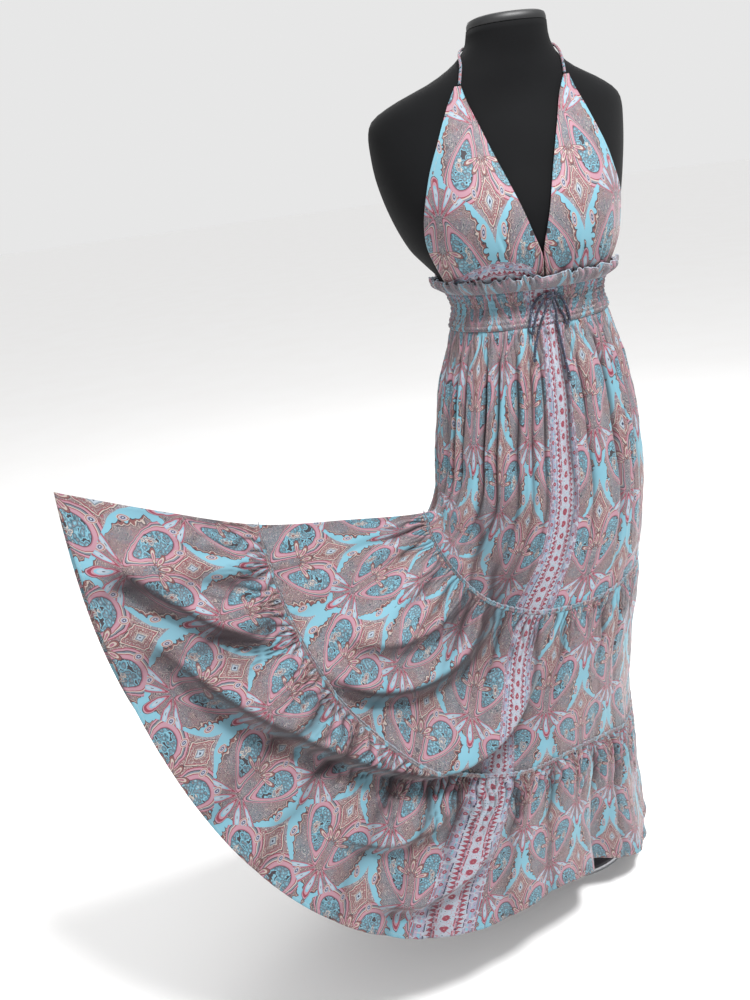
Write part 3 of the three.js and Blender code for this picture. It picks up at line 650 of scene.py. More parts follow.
# %% The cups
CLEARANCE, BODICE_WALL = 2.2, 2.0
CUP_BASE_Z, CUP_TIP_Z = 1098, 1384
CUP_FULLNESS, CUP_FULLEST, CUP_FOOT = 9, 0.3, 1.5
CUP_PRINT_TOP, ARC_TOP, ARC_SAG, ARC_MIDDLE = 1291, 1121, 30, 62
CUP_EDGES = table("z inner outer", [
    [1098, 1.5, 118], [1125, 1.5, 130], [1150, 1.5, 139], [1180, 10, 147], [1215, 21, 146],
    [1265, 37, 135], [1311, 52, 117], [1350, 64, 100], [1384, 75, 83],
])


def cup_lift(across, up):
    """Fullness, uneven pleats over the band and a turned edge, in millimetres."""
    rise = ease(up / CUP_FULLEST) * (1 - ease((up - CUP_FULLEST) / (1 - CUP_FULLEST)))
    full = CUP_FULLNESS * np.sin(math.pi * across) * rise
    length = 0.3 + 0.13 * wave(3.1 * across + 0.3)
    pleats = 2.6 * ease(up / 0.05) * (1 - ease(up / length)) * wave(
        8.5 * across + 0.3 * wave(2.7 * across) + 0.25 * up)
    soft = (0.8 * wave(1.7 * across + 1.9 * up) * wave(2.3 * up) * ease(up / 0.2)
            * (1 - ease((up - 0.7) / 0.3)))
    gathers = 0.7 * (1 - ease(up / 0.16)) * wave(23 * across + 0.4 * wave(5 * across))
    rim = 0.5 * (1 - ease(np.minimum(across, 1 - across) / 0.045))
    return full + pleats + soft + gathers + rim + CUP_FOOT * ease(up / 0.1)


def add_cup(name, side):
    def measures(across, down):
        """The height, the place across and the two edges, in millimetres."""
        z = lerp(CUP_BASE_Z, CUP_TIP_Z, 1 - down)
        inner, outer = (column_at(CUP_EDGES, "z", column, z) for column in ("inner", "outer"))
        return z, lerp(inner, outer, across), inner, outer

    def place(across, down):
        z, out, _, _ = measures(across, down)
        lift = CLEARANCE + BODICE_WALL / 2 + cup_lift(across, 1 - down)
        return off_form(side * degrees_at(out, z), z, lift) * MM

    def cut(across, down):
        z, out, _, _ = measures(across, down)
        return (out * 1.15 - 72) * MM, (CUP_PRINT_TOP - z) * MM

    def border(across, down):
        """The striped band that crosses the right cup in an arc above the ruffle."""
        z, out, _, _ = measures(across, down)
        arc = ARC_TOP - ARC_SAG * (out / ARC_MIDDLE - 1) ** 2
        beside = np.where((out > 14) & (side < 0), 0, FAR)
        return (z - arc) * 1.5 * MM + beside, out * 1.2 * MM

    def edge(across, down):
        _, out, inner, outer = measures(across, down)
        return np.minimum(out - inner, outer - out) * MM

    piece = cloth_sheet(name + "_cloth", 96, 120, place, cut, (0, -1, 0), border, edge)
    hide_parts(name)
    return piece


cups = [add_cup("right_cup", -1), add_cup("left_cup", 1)]
print("cup faces", len(cups[0].data.polygons))

# %% [markdown]
# ## The smocked waistband
# Rows of thin elastic draw the band in, and the cloth between them stands in tiny puckers. Each row
# of elastic is a furrow that runs round the band, and the puckers change phase from row to row.

# %% The smocked waistband
WAIST_Z, BAND_TOP_Z, RUFFLE_TOP_Z = 1040, 1095, 1119
HELD_SEAM_DEGREES, BAND_FLARE = -70, 1.3
ELASTIC_ROWS, PUCKERS = 7, 76
RING_ZERO_SHARE = RING_SHAPES[0]["share"]


def seam_degrees(x, side):
    return HELD_SEAM_DEGREES + side * 180 * (x + 4 * (RING_ZERO_SHARE - 0.5) * x * (1 - x))


def pucker(x, up):
    row = up * ELASTIC_ROWS
    between = np.abs(np.sin(math.pi * row)) ** 0.8
    shift = 0.5 * np.round(row) + 0.35 * wave(5.3 * x + 0.17 * np.floor(row))
    puff = wave(PUCKERS * x + shift + 0.6 * wave(11 * x))
    return between * (1.2 + 1.4 * puff) + 0.4 * wave(2.1 * PUCKERS * x + 0.5 * wave(7 * x))


def add_band(side):
    def place(across, down):
        z = lerp(WAIST_Z + SEAM / 2, BAND_TOP_Z, 1 - down)
        at_edge = ease(np.minimum(down, 1 - down) / 0.06)
        out = BODICE_WALL / 2 + 0.6 + pucker(across, 1 - down) * at_edge
        ring = lambda x: to_world(smooth_skirt(x, 0, side)) / MM
        tangent = unit(ring(across + 0.004) - ring(across - 0.004))
        outward = np.stack([side * tangent[:, 1], -side * tangent[:, 0], 0 * z], axis=1)
        low = ring(across) + outward * (out - BODICE_WALL / 2)[:, None]
        high = off_form(seam_degrees(across, side), z, CLEARANCE + out)
        points = lerp(low, high, ease((1 - down) * BAND_FLARE)[:, None])
        points[:, 2] = z
        return (points + FRONT * side * SEAM / 2) * MM

    name = f"waistband_{'front' if side > 0 else 'back'}"
    cut = lambda across, down: ((across - 0.46) * 0.70, (1 - down) * 0.075 + 0.08)
    piece = cloth_sheet(name + "_cloth", 380, 56, place, cut, FRONT * side, border=cut)
    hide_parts(name)
    return piece


waistbands = [add_band(side) for side in (1, -1)]
print("band faces", len(waistbands[0].data.polygons))

# %% [markdown]
# ## The ruffle
# Above the elastic the same cloth stands free as a heading that rolls outwards and folds at random.
# Its height, roll and waves all change along it, so that no two folds match.

# %% The ruffle
RUFFLE_FOLDS = 34


def add_ruffle(side):
    def place(across, down):
        up = 1 - down
        ends = ease(across / 0.02) * ease((1 - across) / 0.02)
        phase = RUFFLE_FOLDS * across + 0.45 * wave(5.1 * across) + 0.3 * wave(8.7 * across + 0.2)
        height = RUFFLE_TOP_Z - 3 + 4 * wave(phase / 2.3 + 0.1) * wave(3.3 * across)
        z = lerp(BAND_TOP_Z + SEAM, height, up)
        bulge = (10 + 1.5 * wave(phase / 3.1)) * np.sin(0.78 * math.pi * up)
        fold = (3.3 + 1.0 * wave(4.7 * across)) * up**0.8 * wave(phase)
        crinkle = 1.2 * wave(2.7 * phase + 0.5 * up) * up
        out = CLEARANCE + 5.4 + BODICE_WALL / 2 + bulge + (fold + crinkle) * ends
        points = off_form(seam_degrees(across, side), z, out)
        points[:, 2] = z + 1.6 * wave(phase + 0.25) * up * ends
        return (points + FRONT * side * SEAM / 2) * MM

    name = f"ruffle_{'front' if side > 0 else 'back'}"
    cut = lambda across, down: ((across - 0.5) * 1.10 + 0.03, (1 - down) * 0.032 + 0.19)
    piece = cloth_sheet(name + "_cloth", 520, 18, place, cut, FRONT * side,
                        hem=lambda across, down: down * 30 * MM, thickness=0.9 * MM)
    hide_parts(name)
    return piece


ruffles = [add_ruffle(side) for side in (1, -1)]
print("ruffle faces", len(ruffles[0].data.polygons))

# %% [markdown]
# ## Strap and drawstring
# A narrow tube of the same cloth runs from one cup's tip round the neck to the other. The drawstring
# is a limp dark cord tied in a small bow, with two loops and two ends that hang on the skirt. A
# curve with a round bevel is the plainest way to make a cord, and it keeps its diameter.

# %% The halter strap
STRAP_RADIUS, STRAP_OFF = 2.0, 4.0
STRAP_KNOTS = [[30.5, 1386.5], [39.5, 1398], [54, 1412], [83, 1428], [120, 1440], [150, 1447],
               [180, 1450]]  # degrees round the form, and height


def round_cord(name, points, radius, cyclic=False):
    curve = bpy.data.curves.new(name, "CURVE")
    curve.dimensions, curve.bevel_depth, curve.bevel_resolution = "3D", 1, 4
    curve.use_fill_caps = True
    spline = curve.splines.new("POLY")
    spline.points.add(len(points) - 1)
    for point, place in zip(spline.points, points):
        point.co, point.radius = (*place, 1), radius
    spline.use_cyclic_u, spline.use_smooth = cyclic, True
    piece = in_scene(name, curve)
    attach(piece, "root")
    return piece


def strap_half(side):
    degrees, z = np.array(STRAP_KNOTS).T
    return list(off_form(side * degrees, z, STRAP_OFF) * MM)


strap_line = line_through(strap_half(1) + strap_half(-1)[-2::-1], 160)
strap = round_cord("strap_tube", strap_line, STRAP_RADIUS * MM)
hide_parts("halter_strap")
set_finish(strap, "printed_cloth")

# %% The drawstring
CORD_DIAMETER, TIP_KNOT_BELOW = 4, 4.2
BOW = np.array([2, -105, 1084])
CORD_ROUTES = {
    "drawstring_loop_right": [
        [-6.2, -104.5, 1086], [-16, -101.5, 1080], [-25, -102, 1066], [-31, -108.5, 1050],
        [-34, -111.5, 1036], [-29.5, -112.5, 1031], [-25, -109, 1044], [-18, -104, 1060],
        [-6.2, -105, 1080.5]],
    "drawstring_loop_left": [
        [10.2, -104.5, 1086], [19, -101, 1081], [27, -99.5, 1069], [32, -99.5, 1054],
        [33, -101.5, 1041], [28, -103, 1037], [24, -102, 1050], [17, -101.5, 1064],
        [10.2, -105, 1080.5]],
    "drawstring_end_right": [
        [-1.5, -108, 1077], [-7, -110, 1064], [-14, -109.5, 1048], [-21, -113, 1030],
        [-28, -119, 1012], [-32, -122.9, 998]],
    "drawstring_end_left": [
        [5.5, -108, 1077], [9, -109, 1063], [11, -107, 1044], [13, -112, 1020],
        [15, -117, 1000], [17.5, -121, 980], [20, -125.5, 964]],
}


def knot_piece(name, centre, size, turns, thickness):
    """A small knot as the cord itself, wound round a point."""
    u = np.linspace(0, 1, 120, endpoint=False)
    around, lean = 2 * math.pi * u, 2 * math.pi * u * turns
    wide = 1 + 0.35 * np.cos(around)
    loop = np.stack([np.cos(lean) * wide, np.sin(lean) * wide, 0.9 * np.sin(around)], axis=1)
    piece = round_cord(name, (centre + loop * size) * MM, thickness * MM, cyclic=True)
    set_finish(piece, "dark_cord")
    return piece


bow = knot_piece("bow_knot", BOW, np.array([3.4, 1.9, 3.2]), 3, 1.9)
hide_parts("drawstring_knot")
cords = []
for name, knots in CORD_ROUTES.items():
    path = line_through(np.array(knots) * MM, 60)
    cord = round_cord(name.replace("drawstring", "cord"), path, CORD_DIAMETER / 2 * MM)
    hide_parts(name)
    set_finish(cord, "dark_cord")
    tip = []
    if "end" in name:
        below = path[-1] / MM - [0, 0, TIP_KNOT_BELOW]
        tip = [knot_piece(name.replace("drawstring_end", "tip_knot"), below,
                          np.array([1.5, 1.5, 1.7]), 2, 1.5)]
        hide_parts(name.replace("end", "end_knot"))
    cords.append(cord)

# %% [markdown]
# ## Colours and sums for materials
# The print is drawn by arithmetic on the flat measurements of the cloth, so that it is sharp at any
# size and follows every fold. A small class lets shader nodes be added and multiplied like numbers,
# which is far easier to read than a list of links. Dyes have names, so that a band of colours can be
# written in a few words.

# %% The dyes
DYE_SHARE = 0.58  # dyed cloth returns less light than the same colour on a screen


def paint(code, share=1.0):
    """A colour from its screen code, as the linear numbers that shaders use, times a share."""
    parts = [int(code[i:i + 2], 16) / 255 for i in (0, 2, 4)]
    linear = [c / 12.92 if c <= 0.04045 else ((c + 0.055) / 1.055) ** 2.4 for c in parts]
    return tuple(c * share for c in linear) + (1,)


DYES = {name: paint(code, DYE_SHARE) for name, code in {
    "sky": "8ac9dd", "pale": "c0cedb", "teal": "6a9cae", "deep_teal": "3d6674",
    "taupe": "8a8288", "brown": "695a5d", "umber": "382c31", "cream": "d3c5ba",
    "pink": "cb97a6", "rose": "b26b7f", "crimson": "a03349", "rust": "8c504d",
    "lilac": "aeabc6", "navy": "2a3150", "slate": "7f8b98", "salmon": "a38083",
}.items()}
CLEAR = (0, 0, 0, 0)


def colour_of(word):
    """A dye by its name, or a plain colour by its screen code. A dash is clear."""
    return CLEAR if word == "-" else DYES.get(word) or paint(word)


print("sky as linear numbers:", [round(c, 2) for c in colour_of("sky")[:3]])

# %% Sums for materials


class Field:
    """One number at every point of a surface: a node's output, ready for sums."""

    def __init__(self, tree, socket):
        self.tree, self.socket = tree, socket

    def op(self, kind, *others):
        node = self.tree.nodes.new("ShaderNodeMath")
        node.operation = kind
        feed(self.tree, node.inputs, (self, *others))
        return Field(self.tree, node.outputs[0])

    def __add__(self, other): return self.op("ADD", other)
    def __sub__(self, other): return self.op("SUBTRACT", other)
    def __mul__(self, other): return self.op("MULTIPLY", other)
    def __truediv__(self, other): return self.op("DIVIDE", other)
    def __abs__(self): return self.op("ABSOLUTE")
    def __lt__(self, other): return self.op("LESS_THAN", other)
    def __gt__(self, other): return self.op("GREATER_THAN", other)
    def fract(self): return self.op("FRACT")
    def sine(self): return self.op("SINE")


def feed(tree, slots, values):
    """Link each field or socket to its slot, or set the slot to a plain value."""
    for slot, value in zip(slots, values):
        value = value.socket if isinstance(value, Field) else value
        if isinstance(value, bpy.types.NodeSocket):
            tree.links.new(value, slot)
        else:
            slot.default_value = value


def length_of(a, b):
    """The length of the arrow (a, b)."""
    return (a * a + b * b).op("SQRT")


def axes(tree, vector):
    node = tree.nodes.new("ShaderNodeSeparateXYZ")
    feed(tree, node.inputs, [vector])
    return [Field(tree, output) for output in node.outputs]


def joined(tree, x, y, z=0.0):
    node = tree.nodes.new("ShaderNodeCombineXYZ")
    feed(tree, node.inputs, (x, y, z))
    return node.outputs[0]


def cells(tree, vector, scale, seedy=1.0):
    """Distance from the middle of scattered cells, 0 to about 1."""
    node = tree.nodes.new("ShaderNodeTexVoronoi")
    feed(tree, [node.inputs[n] for n in ("Vector", "Scale", "Randomness")], (vector, scale, seedy))
    return Field(tree, node.outputs["Distance"])


def cloud(tree, vector, scale, detail=2.0, distortion=0.0):
    node = tree.nodes.new("ShaderNodeTexNoise")
    feed(tree, [node.inputs[n] for n in ("Vector", "Scale", "Detail", "Distortion")],
         (vector, scale, detail, distortion))
    return Field(tree, node.outputs[0])


def group_tree(name, inputs, outputs):
    tree = bpy.data.node_groups.new(name, "ShaderNodeTree")
    for way, sockets in (("INPUT", inputs), ("OUTPUT", outputs)):
        for socket, kind in sockets.items():
            tree.interface.new_socket(socket, in_out=way, socket_type="NodeSocket" + kind)
    return tree, tree.nodes.new("NodeGroupInput"), tree.nodes.new("NodeGroupOutput")


# %% [markdown]
# ## Laying colours
# A block print is laid one colour over another, and each block has edges. A ramp of plain bands
# turns a field into outlines and fills, and its clear bands let the colours below show.

# %% Laying colours


def bands(field, words, kind="CONSTANT"):
    """Colours by the value of a field, from words such as 0 umber 0.2 cream 0.5 -."""
    node = field.tree.nodes.new("ShaderNodeValToRGB")
    node.color_ramp.interpolation = kind
    elements, words = node.color_ramp.elements, words.split()
    while len(elements) < len(words) // 2:
        elements.new(0.5)
    for element, at, word in zip(elements, words[::2], words[1::2]):
        element.position = float(at)
        element.color = colour_of(word)
    feed(field.tree, node.inputs, [field])
    return node.outputs["Color"], node.outputs["Alpha"]


class Picture:
    """The colour of every point of a surface, on which further colours are laid."""

    def __init__(self, tree, colour):
        self.tree, self.colour = tree, colour

    def lay(self, colour, mask):
        node = self.tree.nodes.new("ShaderNodeMix")
        node.data_type = "RGBA"
        feed(self.tree, [node.inputs[i] for i in (0, 6, 7)], (mask, self.colour, colour))
        self.colour = node.outputs[2]

    def draw(self, field, words):
        self.lay(*bands(field, words))


# %% [markdown]
# ## The paisley print
# The cloth has a traditional paisley repeat: rows of mirrored motifs in a net of diamonds, with bare
# sky-blue channels between them. Folding the plane on its mirror lines first means that each motif
# is drawn only once. Every motif is a number that grows from its middle to its edge.

# %% Shapes in the print
REPEAT_WIDE, REPEAT_HIGH = 0.150, 0.236


def teardrop(x, y, middle, radius, length, taper, lean):
    """0 in the middle of a leaning drop and 1 on its edge; its tip points down to the axis."""
    along = (y - middle[1]) / length
    below = along * -0.5 + 0.5
    side = x - middle[0] + below * below * lean
    return length_of(side / (along * (radius * taper) + radius), along)


def spray(x, y, stem, spread, reach, half_width):
    """Long loops that spread downwards from a stem: 0 inside a loop and 1 on its edge."""
    dx, dy = x - stem[0], (y - stem[1]) * -1
    turn_by = dx.op("ARCTAN2", dy)
    nearest = (turn_by / spread).op("ROUND").op("MINIMUM", 2.0)
    off = turn_by - nearest * spread
    far = length_of(dx, dy)
    along, aside = far * off.op("COSINE"), far * off.sine()
    wide = along * (half_width * 0.85 / reach) + half_width * 0.18
    return length_of(aside / wide, (along - reach * 0.56) / (reach * 0.46))


def oval(x, y, middle, size):
    """0 in the middle of an oval and 1 on its edge."""
    return length_of((x - middle[0]) / size[0], (y - middle[1]) / size[1])


def folded(u, v):
    """The place in one motif's half diamond, and how far over the diamond's edge it was."""
    x = abs((u / REPEAT_WIDE).fract() - 0.5) * REPEAT_WIDE
    y = ((v / REPEAT_HIGH).fract() - 0.5) * REPEAT_HIGH
    height = abs(y) / (REPEAT_HIGH / 2)
    diamond = x / (REPEAT_WIDE / 2) + height - (height * 2 * math.pi).sine() * 0.11
    other = diamond > 1.0
    x = x + other * (x * -2.0 + REPEAT_WIDE / 2)
    y = y - other * y.op("SIGN") * (REPEAT_HIGH / 2)
    return x, y, abs(diamond - 1.0)


# %% The scrolled ground and the channels


def scrolled_ground(tree, cloth, specks):
    """Fine outlined scrolls and specks over a mottled ground."""
    colour, _ = bands(specks, "0 cream 0.17 crimson 0.24 taupe 0.42 umber 0.52 salmon 0.66 brown")
    picture = Picture(tree, colour)
    curls = cloud(tree, cloth, 42, 1.5, 3.4)
    picture.draw(abs((curls * 4.5).fract() - 0.5),
                 "0 umber 0.09 cream 0.18 - 0.37 rust 0.44 slate")
    patch, _ = bands(cloud(tree, cloth, 24, 1), "0 brown 0.40 salmon 0.54 slate 0.75 teal", "EASE")
    picture.lay(patch, 0.32)
    return picture


def draw_channels(picture, x, y, edge, lace):
    """Bare sky-blue channels of changing width along the diamonds' net."""
    broad = cloud(picture.tree, joined(picture.tree, x, y), 26, 0)
    channel = (edge + lace * 0.13) / (broad * 0.42 - 0.02)
    picture.draw(channel * 0.5, "0 sky 0.46 umber 0.49 rust 0.54 cream 0.57 brown 0.62 -")


# %% The motifs


def draw_drop(picture, x, y, filling, lace):
    """The large leaning drop, with a flower in it."""
    head = teardrop(x, y, (0.036, 0.014), 0.0215, 0.048, 0.55, 0.026)
    inner, _ = bands(filling, "0 cream 0.13 sky 0.24 teal 0.36 taupe 0.42 deep_teal 0.5 teal "
                              "0.6 sky 0.68 umber")
    picture.lay(inner, head < 0.7)
    picture.draw(head * 0.5, "0 - 0.34 umber 0.352 rose 0.37 pink 0.435 crimson 0.452 cream "
                             "0.47 slate 0.50 umber 0.512 pink 0.55 crimson 0.565 -")
    flower = oval(x, y, (0.035, 0.012), (0.0075, 0.018)) + abs(lace - 0.4) * 1.1
    picture.draw(flower, "0 rust 0.3 cream 0.42 slate 0.62 cream 0.72 -")


def draw_sprays(picture, x, y):
    loops = spray(x, y, (0.0, -0.036), 0.50, 0.060, 0.0082)
    picture.draw(loops * 0.8, "0 umber 0.07 pale 0.3 sky 0.42 pink 0.54 crimson 0.69 pink "
                              "0.76 umber 0.8 -")
    crown = spray(x, y * -1.0, (0.0, -0.004), 0.62, 0.030, 0.0056)
    picture.draw(crown * 0.8, "0 rose 0.3 cream 0.5 rust 0.7 umber 0.76 -")


EYES = table("middle size", [[(0.021, 0.054), (0.0045, 0.009)], [(0.060, -0.016), (0.004, 0.010)],
                             [(0.026, -0.064), (0.0045, 0.009)]])


def draw_eyes(picture, x, y):
    for eye in EYES:
        picture.draw(oval(x, y, eye["middle"], eye["size"]) * 0.8,
                     "0 pale 0.15 navy 0.3 lilac 0.46 cream 0.58 crimson 0.68 cream 0.8 -")


# %% The whole print


def build_print():
    tree, given, made = group_tree("paisley_print", {"Vector": "Vector"},
                                   {"Color": "Color", "Relief": "Float"})
    wobble = cloud(tree, given.outputs[0], 60, 2)
    u, v, _ = axes(tree, given.outputs[0])
    u, v = u + (wobble - 0.5) * 0.004, v + (wobble - 0.5) * 0.0035
    x, y, edge = folded(u, v)
    cloth = joined(tree, u, v)
    specks, lace = cells(tree, cloth, 150), cells(tree, cloth, 120, 0.8)
    filling = cells(tree, cloth, 170) * 0.75 + wobble * 0.4 - 0.1
    medal = abs(x) / 0.0175 + abs(y - 0.066) / 0.036 + (lace - 0.5) * 0.14

    picture = scrolled_ground(tree, cloth, specks)
    draw_channels(picture, x, y, edge, lace)
    coral, _ = bands(specks, "0 cream 0.2 crimson 0.3 salmon 0.48 cream 0.56 rust 0.68 salmon")
    picture.lay(coral, (medal < 1.6) * 0.8)
    draw_drop(picture, x, y, filling, lace)
    draw_sprays(picture, x, y)
    picture.draw(medal * 0.8, "0 navy 0.07 pale 0.17 slate 0.24 cream 0.29 - 0.42 rust 0.46 - "
                              "0.62 crimson 0.67 cream 0.74 umber 0.78 -")
    draw_eyes(picture, x, y)
    feed(tree, [made.inputs["Color"], made.inputs["Relief"]],
         (picture.colour, specks * 0.5 + wobble))
    return tree


paisley = build_print()
print("paisley print:", len(paisley.nodes), "nodes")

# %% [markdown]
# ## The striped border
# Down the centre front runs a border of narrow stripes: ring dots, rows of small triangles and
# sprigs between thin lines. Distance across the border picks the stripe, and distance along it
# repeats the dots.

# %% The striped border
BORDER_HALF = 0.040
CENTIMETRES = 100  # in a metre, so that a dot's bands are in centimetres


def build_border():
    tree, given, made = group_tree("striped_border", {"Vector": "Vector"},
                                   {"Color": "Color", "Mask": "Float"})
    ragged = cloud(tree, given.outputs[0], 130, 2) - 0.5
    across, along, _ = axes(tree, given.outputs[0])
    out = abs(across) + ragged * 0.0016
    beat = lambda pitch, shift=0.0: ((along / pitch + shift).fract() - 0.5) * pitch
    stripes, _ = bands(out / BORDER_HALF,
                       "0 pale 0.24 crimson 0.28 pink 0.32 slate 0.36 pale 0.56 navy 0.60 lilac "
                       "0.68 sky 0.74 lilac 0.85 slate 0.89 rose 0.93 sky 0.96 crimson")
    picture = Picture(tree, stripes)
    picture.draw(cells(tree, given.outputs[0], 210), "0 slate 0.2 - 0.6 pink 0.68 pale")
    floret = length_of(across, beat(0.019)) + ragged * 0.006
    picture.draw(floret * CENTIMETRES, "0 cream 0.08 crimson 0.42 rose 0.50 -")
    ring = length_of(out - 0.0305, beat(0.021, 0.5))
    picture.draw(ring * CENTIMETRES, "0 pink 0.12 crimson 0.30 -")
    point = abs(beat(0.0080)) * 2.0 + (out - 0.0145)
    picture.lay(colour_of("crimson"), (point < 0.0072) * (out > 0.0140))
    bud = length_of(out - 0.0135, beat(0.013, 0.3)) + ragged * 0.003
    picture.draw(bud * CENTIMETRES, "0 navy 0.1 crimson 0.16 -")
    feed(tree, [made.inputs["Color"], made.inputs["Mask"]], (picture.colour, out < BORDER_HALF))
    return tree


border_stripes = build_border()
print("striped border:", len(border_stripes.nodes), "nodes")

# %% [markdown]
# ## Weave and stitches
# Thin crepe has a faint pebbled surface, and each hem carries a row of small stitches a few
# millimetres from its edge. Both are relief, so they are heights for a Bump node. The stitches come
# from the "hem" distance and the flat measurement along the edge.

# %% Weave and stitches
STITCH_PITCH, STITCH_SHARE, STITCH_HALF, RIM_WIDE = 0.0032, 0.62, 0.0005, 0.0018


def build_weave():
    tree, given, made = group_tree("crepe_weave", {"Vector": "Vector"}, {"Height": "Float"})
    u, v, _ = axes(tree, given.outputs[0])
    threads = (u * 9000.0).sine() * (v * 9000.0).sine()
    pebble = cloud(tree, given.outputs[0], 1400, 1)
    feed(tree, made.inputs, [threads * 0.25 + pebble * 0.5])
    return tree


def build_stitches():
    tree, given, made = group_tree(
        "stitch_row", {"Edge": "Float", "Along": "Float", "Inset": "Float"},
        {"Mask": "Float", "Fold": "Float", "Rim": "Float"})
    edge, along, inset = (Field(tree, socket) for socket in given.outputs[:3])
    row = abs(edge - inset) < STITCH_HALF
    thread = ((along / STITCH_PITCH).fract() < STITCH_SHARE) * row
    feed(tree, made.inputs, (thread, edge < inset, edge < RIM_WIDE))
    return tree


crepe, stitch_row = build_weave(), build_stitches()
print("stitch row:", len(stitch_row.nodes), "nodes")

# %% Materials from parts


def place_group(tree, group, **links):
    node = tree.nodes.new("ShaderNodeGroup")
    node.node_tree = group
    feed(tree, [node.inputs[name] for name in links], links.values())
    return {output.name: Field(tree, output) for output in node.outputs}


def new_material(name, roughness, **shader_values):
    material = bpy.data.materials.new(name)
    material.use_nodes = True
    shader = material.node_tree.nodes["Principled BSDF"]
    shader.inputs["Roughness"].default_value = roughness
    for socket, value in shader_values.items():
        shader.inputs[socket.replace("_", " ")].default_value = value
    return material, material.node_tree, shader


def bump(tree, shader, height, strength, distance):
    node = tree.nodes.new("ShaderNodeBump")
    feed(tree, [node.inputs[n] for n in ("Strength", "Distance", "Height")],
         (strength, distance, height))
    tree.links.new(node.outputs[0], shader.inputs["Normal"])


# %% [markdown]
# ## The dress's cloth
# The finish is a thin viscose crepe: nearly matte, with a little sheen where it turns away. The
# print and the border are mixed by the border's own mask, and a broad soft cloud keeps the colour
# from being flat. Creases are darkened by the "shade" attribute, as painted shade. Sheen is a plain
# number on the shader.

# %% The dress's cloth
# The dark colour that is laid in the creases as painted shade.
PAINTED_CREASE_SHADE = paint("2c2126")
STITCH_INSET = 0.0055


def uv_node(tree, name):
    node = tree.nodes.new("ShaderNodeUVMap")
    node.uv_map = name
    return node.outputs[0]


def attribute(tree, name):
    node = tree.nodes.new("ShaderNodeAttribute")
    node.attribute_name = name
    return node.outputs["Fac"]


def printed_cloth(name, wash, amount, rim=0.0):
    """The printed crepe. wash is a colour that a soft cloud mixes with slate and pink, laid over the
    whole piece by an amount.
    """
    material, tree, shader = new_material(name, 0.62, Sheen_Weight=0.2, Sheen_Roughness=0.45,
                                          Specular_IOR_Level=0.3)
    cut = uv_node(tree, "cut")
    stripes = place_group(tree, border_stripes, Vector=uv_node(tree, "border"))
    along, _, _ = axes(tree, cut)
    stitches = place_group(tree, stitch_row, Edge=attribute(tree, "hem"), Along=along,
                           Inset=STITCH_INSET)
    picture = Picture(tree, place_group(tree, paisley, Vector=cut)["Color"])
    picture.lay(stripes["Color"], stripes["Mask"])
    tint, _ = bands(cloud(tree, cut, 6, 2), f"0 {wash} 0.5 slate 1 pink", "EASE")
    picture.lay(tint, amount)
    picture.lay(colour_of("cream"), stitches["Mask"] * 0.4)
    picture.lay(colour_of("pale"), stitches["Rim"] * rim)
    # Painted shade: the creases are darkened by the "shade" attribute.
    picture.lay(PAINTED_CREASE_SHADE, attribute(tree, "shade"))
    feed(tree, [shader.inputs["Base Color"]], [picture.colour])
    weave = place_group(tree, crepe, Vector=cut)
    bump(tree, shader, weave["Height"] * 0.35 + stitches["Mask"] + stitches["Fold"] * 0.6,
         0.35, 0.0006)
    return material


skirt_cloth = printed_cloth("printed_crepe", "pink", 0.10)
band_cloth = printed_cloth("printed_crepe_smocked", "brown", 0.22)
ruffle_cloth = printed_cloth("printed_crepe_ruffle", "umber", 0.35, rim=0.7)
frill_cloth = printed_cloth("printed_crepe_frill", "sky", 0.25, rim=0.5)

# %% Give the cloth to the pieces
for group, material in ((tiers + cups, skirt_cloth), (waistbands, band_cloth),
                        (ruffles, ruffle_cloth), (frills, frill_cloth)):
    for piece in group:
        piece.data.materials.append(material)
for piece in tiers + cups + waistbands + ruffles + frills:
    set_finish(piece, "printed_cloth")

# %% [markdown]
# ## Jersey, cord and steel
# The form's cover is a matte black knit: fine ribs as relief and a faint sheen. The cord is dark
# with a few pale flecks of the print. The steel is brushed, so its roughness is streaked. Jersey,
# cap, strap and cord are each a colour and a relief that follow the place on the piece, so one
# function makes them all; the steel is made on its own.

# %% A finish by its place on the piece


def finish(name, roughness, colour, relief=None, **shader_values):
    """A material. colour gives bands and relief gives a bump, both from the place on the piece."""
    material, tree, shader = new_material(name, roughness, **shader_values)
    where = tree.nodes.new("ShaderNodeTexCoord").outputs["Object"]
    feed(tree, [shader.inputs["Base Color"]], colour(tree, where)[:1])
    if relief:
        bump(tree, shader, *relief(tree, where))
    return material


def mottled(scale, words, detail=3):
    return lambda tree, where: bands(cloud(tree, where, scale, detail), words, "LINEAR")


def grain(scale, detail, strength, distance):
    return lambda tree, where: (cloud(tree, where, scale, detail), strength, distance)


# %% Jersey and cord


def knitted(tree, where):
    x, y, z = axes(tree, where)
    knit = ((x - y) * 3400.0).sine() * (z * 2600.0).sine()
    return knit * 0.4 + cloud(tree, where, 900, 1), 0.25, 0.0004


def flecked(tree, where):
    return bands(cells(tree, where, 330), "0 pale 0.13 slate 0.22 navy 0.6 14141d")


def twisted(tree, where):
    x, _, z = axes(tree, where)
    return (z * 2400.0 + x * 1800.0).sine(), 0.4, 0.0005


def narrow_print(tree, where):
    mottle = cells(tree, where, 170) + cloud(tree, where, 80, 2) * 0.5 - 0.2
    return bands(mottle, "0 cream 0.12 crimson 0.3 taupe 0.5 rose 0.62 teal 0.75 umber")


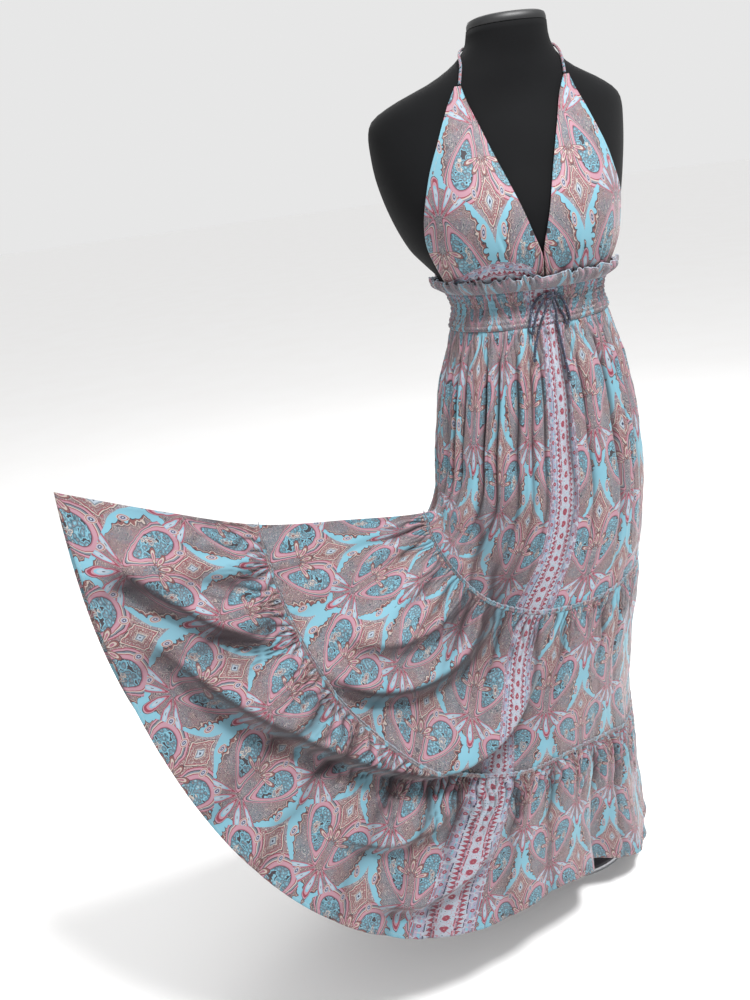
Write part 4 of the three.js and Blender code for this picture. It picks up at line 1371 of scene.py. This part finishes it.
torso.data.materials.append(finish(
    "black_jersey", 0.85, mottled(9, "0 060607 1 101113"), knitted,
    Sheen_Weight=0.03, Sheen_Roughness=0.5, Specular_IOR_Level=0.12))
cap.data.materials.append(finish(
    "cap_plastic", 0.5, mottled(40, "0 0d0e0f 1 1c1d1f"), grain(700, 2, 0.15, 0.0003)))
strap.data.materials.append(finish(
    "strap_cloth", 0.68, narrow_print, grain(900, 1, 0.3, 0.0005),
    Sheen_Weight=0.25, Sheen_Roughness=0.45))
cord_material = finish("dark_cord_cloth", 0.75, flecked, twisted,
                       Sheen_Weight=0.2, Sheen_Roughness=0.5)
for piece in [o for o in bpy.data.objects if o.get("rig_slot") == "dark_cord"]:
    piece.data.materials.append(cord_material)

# %% Brushed steel


def streaks(tree, where):
    x, y, z = axes(tree, where)
    return cloud(tree, joined(tree, length_of(x, y - STAND_Y) * 30.0, 0.0, z * 30.0), 40, 3)


steel, steel_tree, steel_shader = new_material("brushed_steel", 0.35, Metallic=1.0)
brushed = streaks(steel_tree, steel_tree.nodes.new("ShaderNodeTexCoord").outputs["Object"])
feed(steel_tree, [steel_shader.inputs["Base Color"], steel_shader.inputs["Roughness"]],
     (bands(brushed, "0 a9acb0 1 cfd1d4", "LINEAR")[0], brushed * 0.25 + 0.2))
for piece in (base, pole):
    piece.data.materials.append(steel)
print("materials:", len(bpy.data.materials))

# %% [markdown]
# ## Floor and light
# The object stands on a plain pale floor in soft studio light: one broad lamp from the front and
# above, a weaker one from the other side and a bright even surround. Broad lamps give the cloth
# soft shadows, and the folds still read.

# %% Floor
FLOOR_RADIUS = 40  # metres, so that its edge is too far off to show

bm = bmesh.new()
bmesh.ops.create_circle(bm, cap_ends=True, segments=96, radius=FLOOR_RADIUS)
floor = in_scene("floor", mesh_of("floor", bm))
floor.data.materials.append(finish(
    "floor_paint", 0.9, mottled(3, "0 fcfbfa 1 ffffff", detail=2), Specular_IOR_Level=0.1))

# %% Light
LAMPS = table("name place aim size power", [
    ["key", (0.5, -1.3, 3.5), (-0.25, 0, 0.6), 0.6, 128],
    ["fill", (-2.6, -2.0, 1.6), (-0.2, 0, 0.6), 2.0, 12],
    ["back", (0.8, 2.4, 2.6), (0, 0, 0.9), 1.6, 22],
])
for lamp in LAMPS:
    light = bpy.data.lights.new(lamp["name"], "AREA")
    light.size, light.energy = lamp["size"], lamp["power"]
    piece = in_scene(lamp["name"], light)
    piece.location = lamp["place"]
    towards = Vector(lamp["aim"]) - piece.location
    piece.rotation_euler = towards.to_track_quat("-Z", "Y").to_euler()
world = bpy.data.worlds.new("studio")
bpy.context.scene.world = world
world.use_nodes = True
surround = world.node_tree.nodes["Background"]
surround.inputs["Color"].default_value = (1, 1, 1, 1)
surround.inputs["Strength"].default_value = 0.8
bpy.context.scene.view_settings.view_transform = "Standard"
print("lamps:", len(LAMPS))
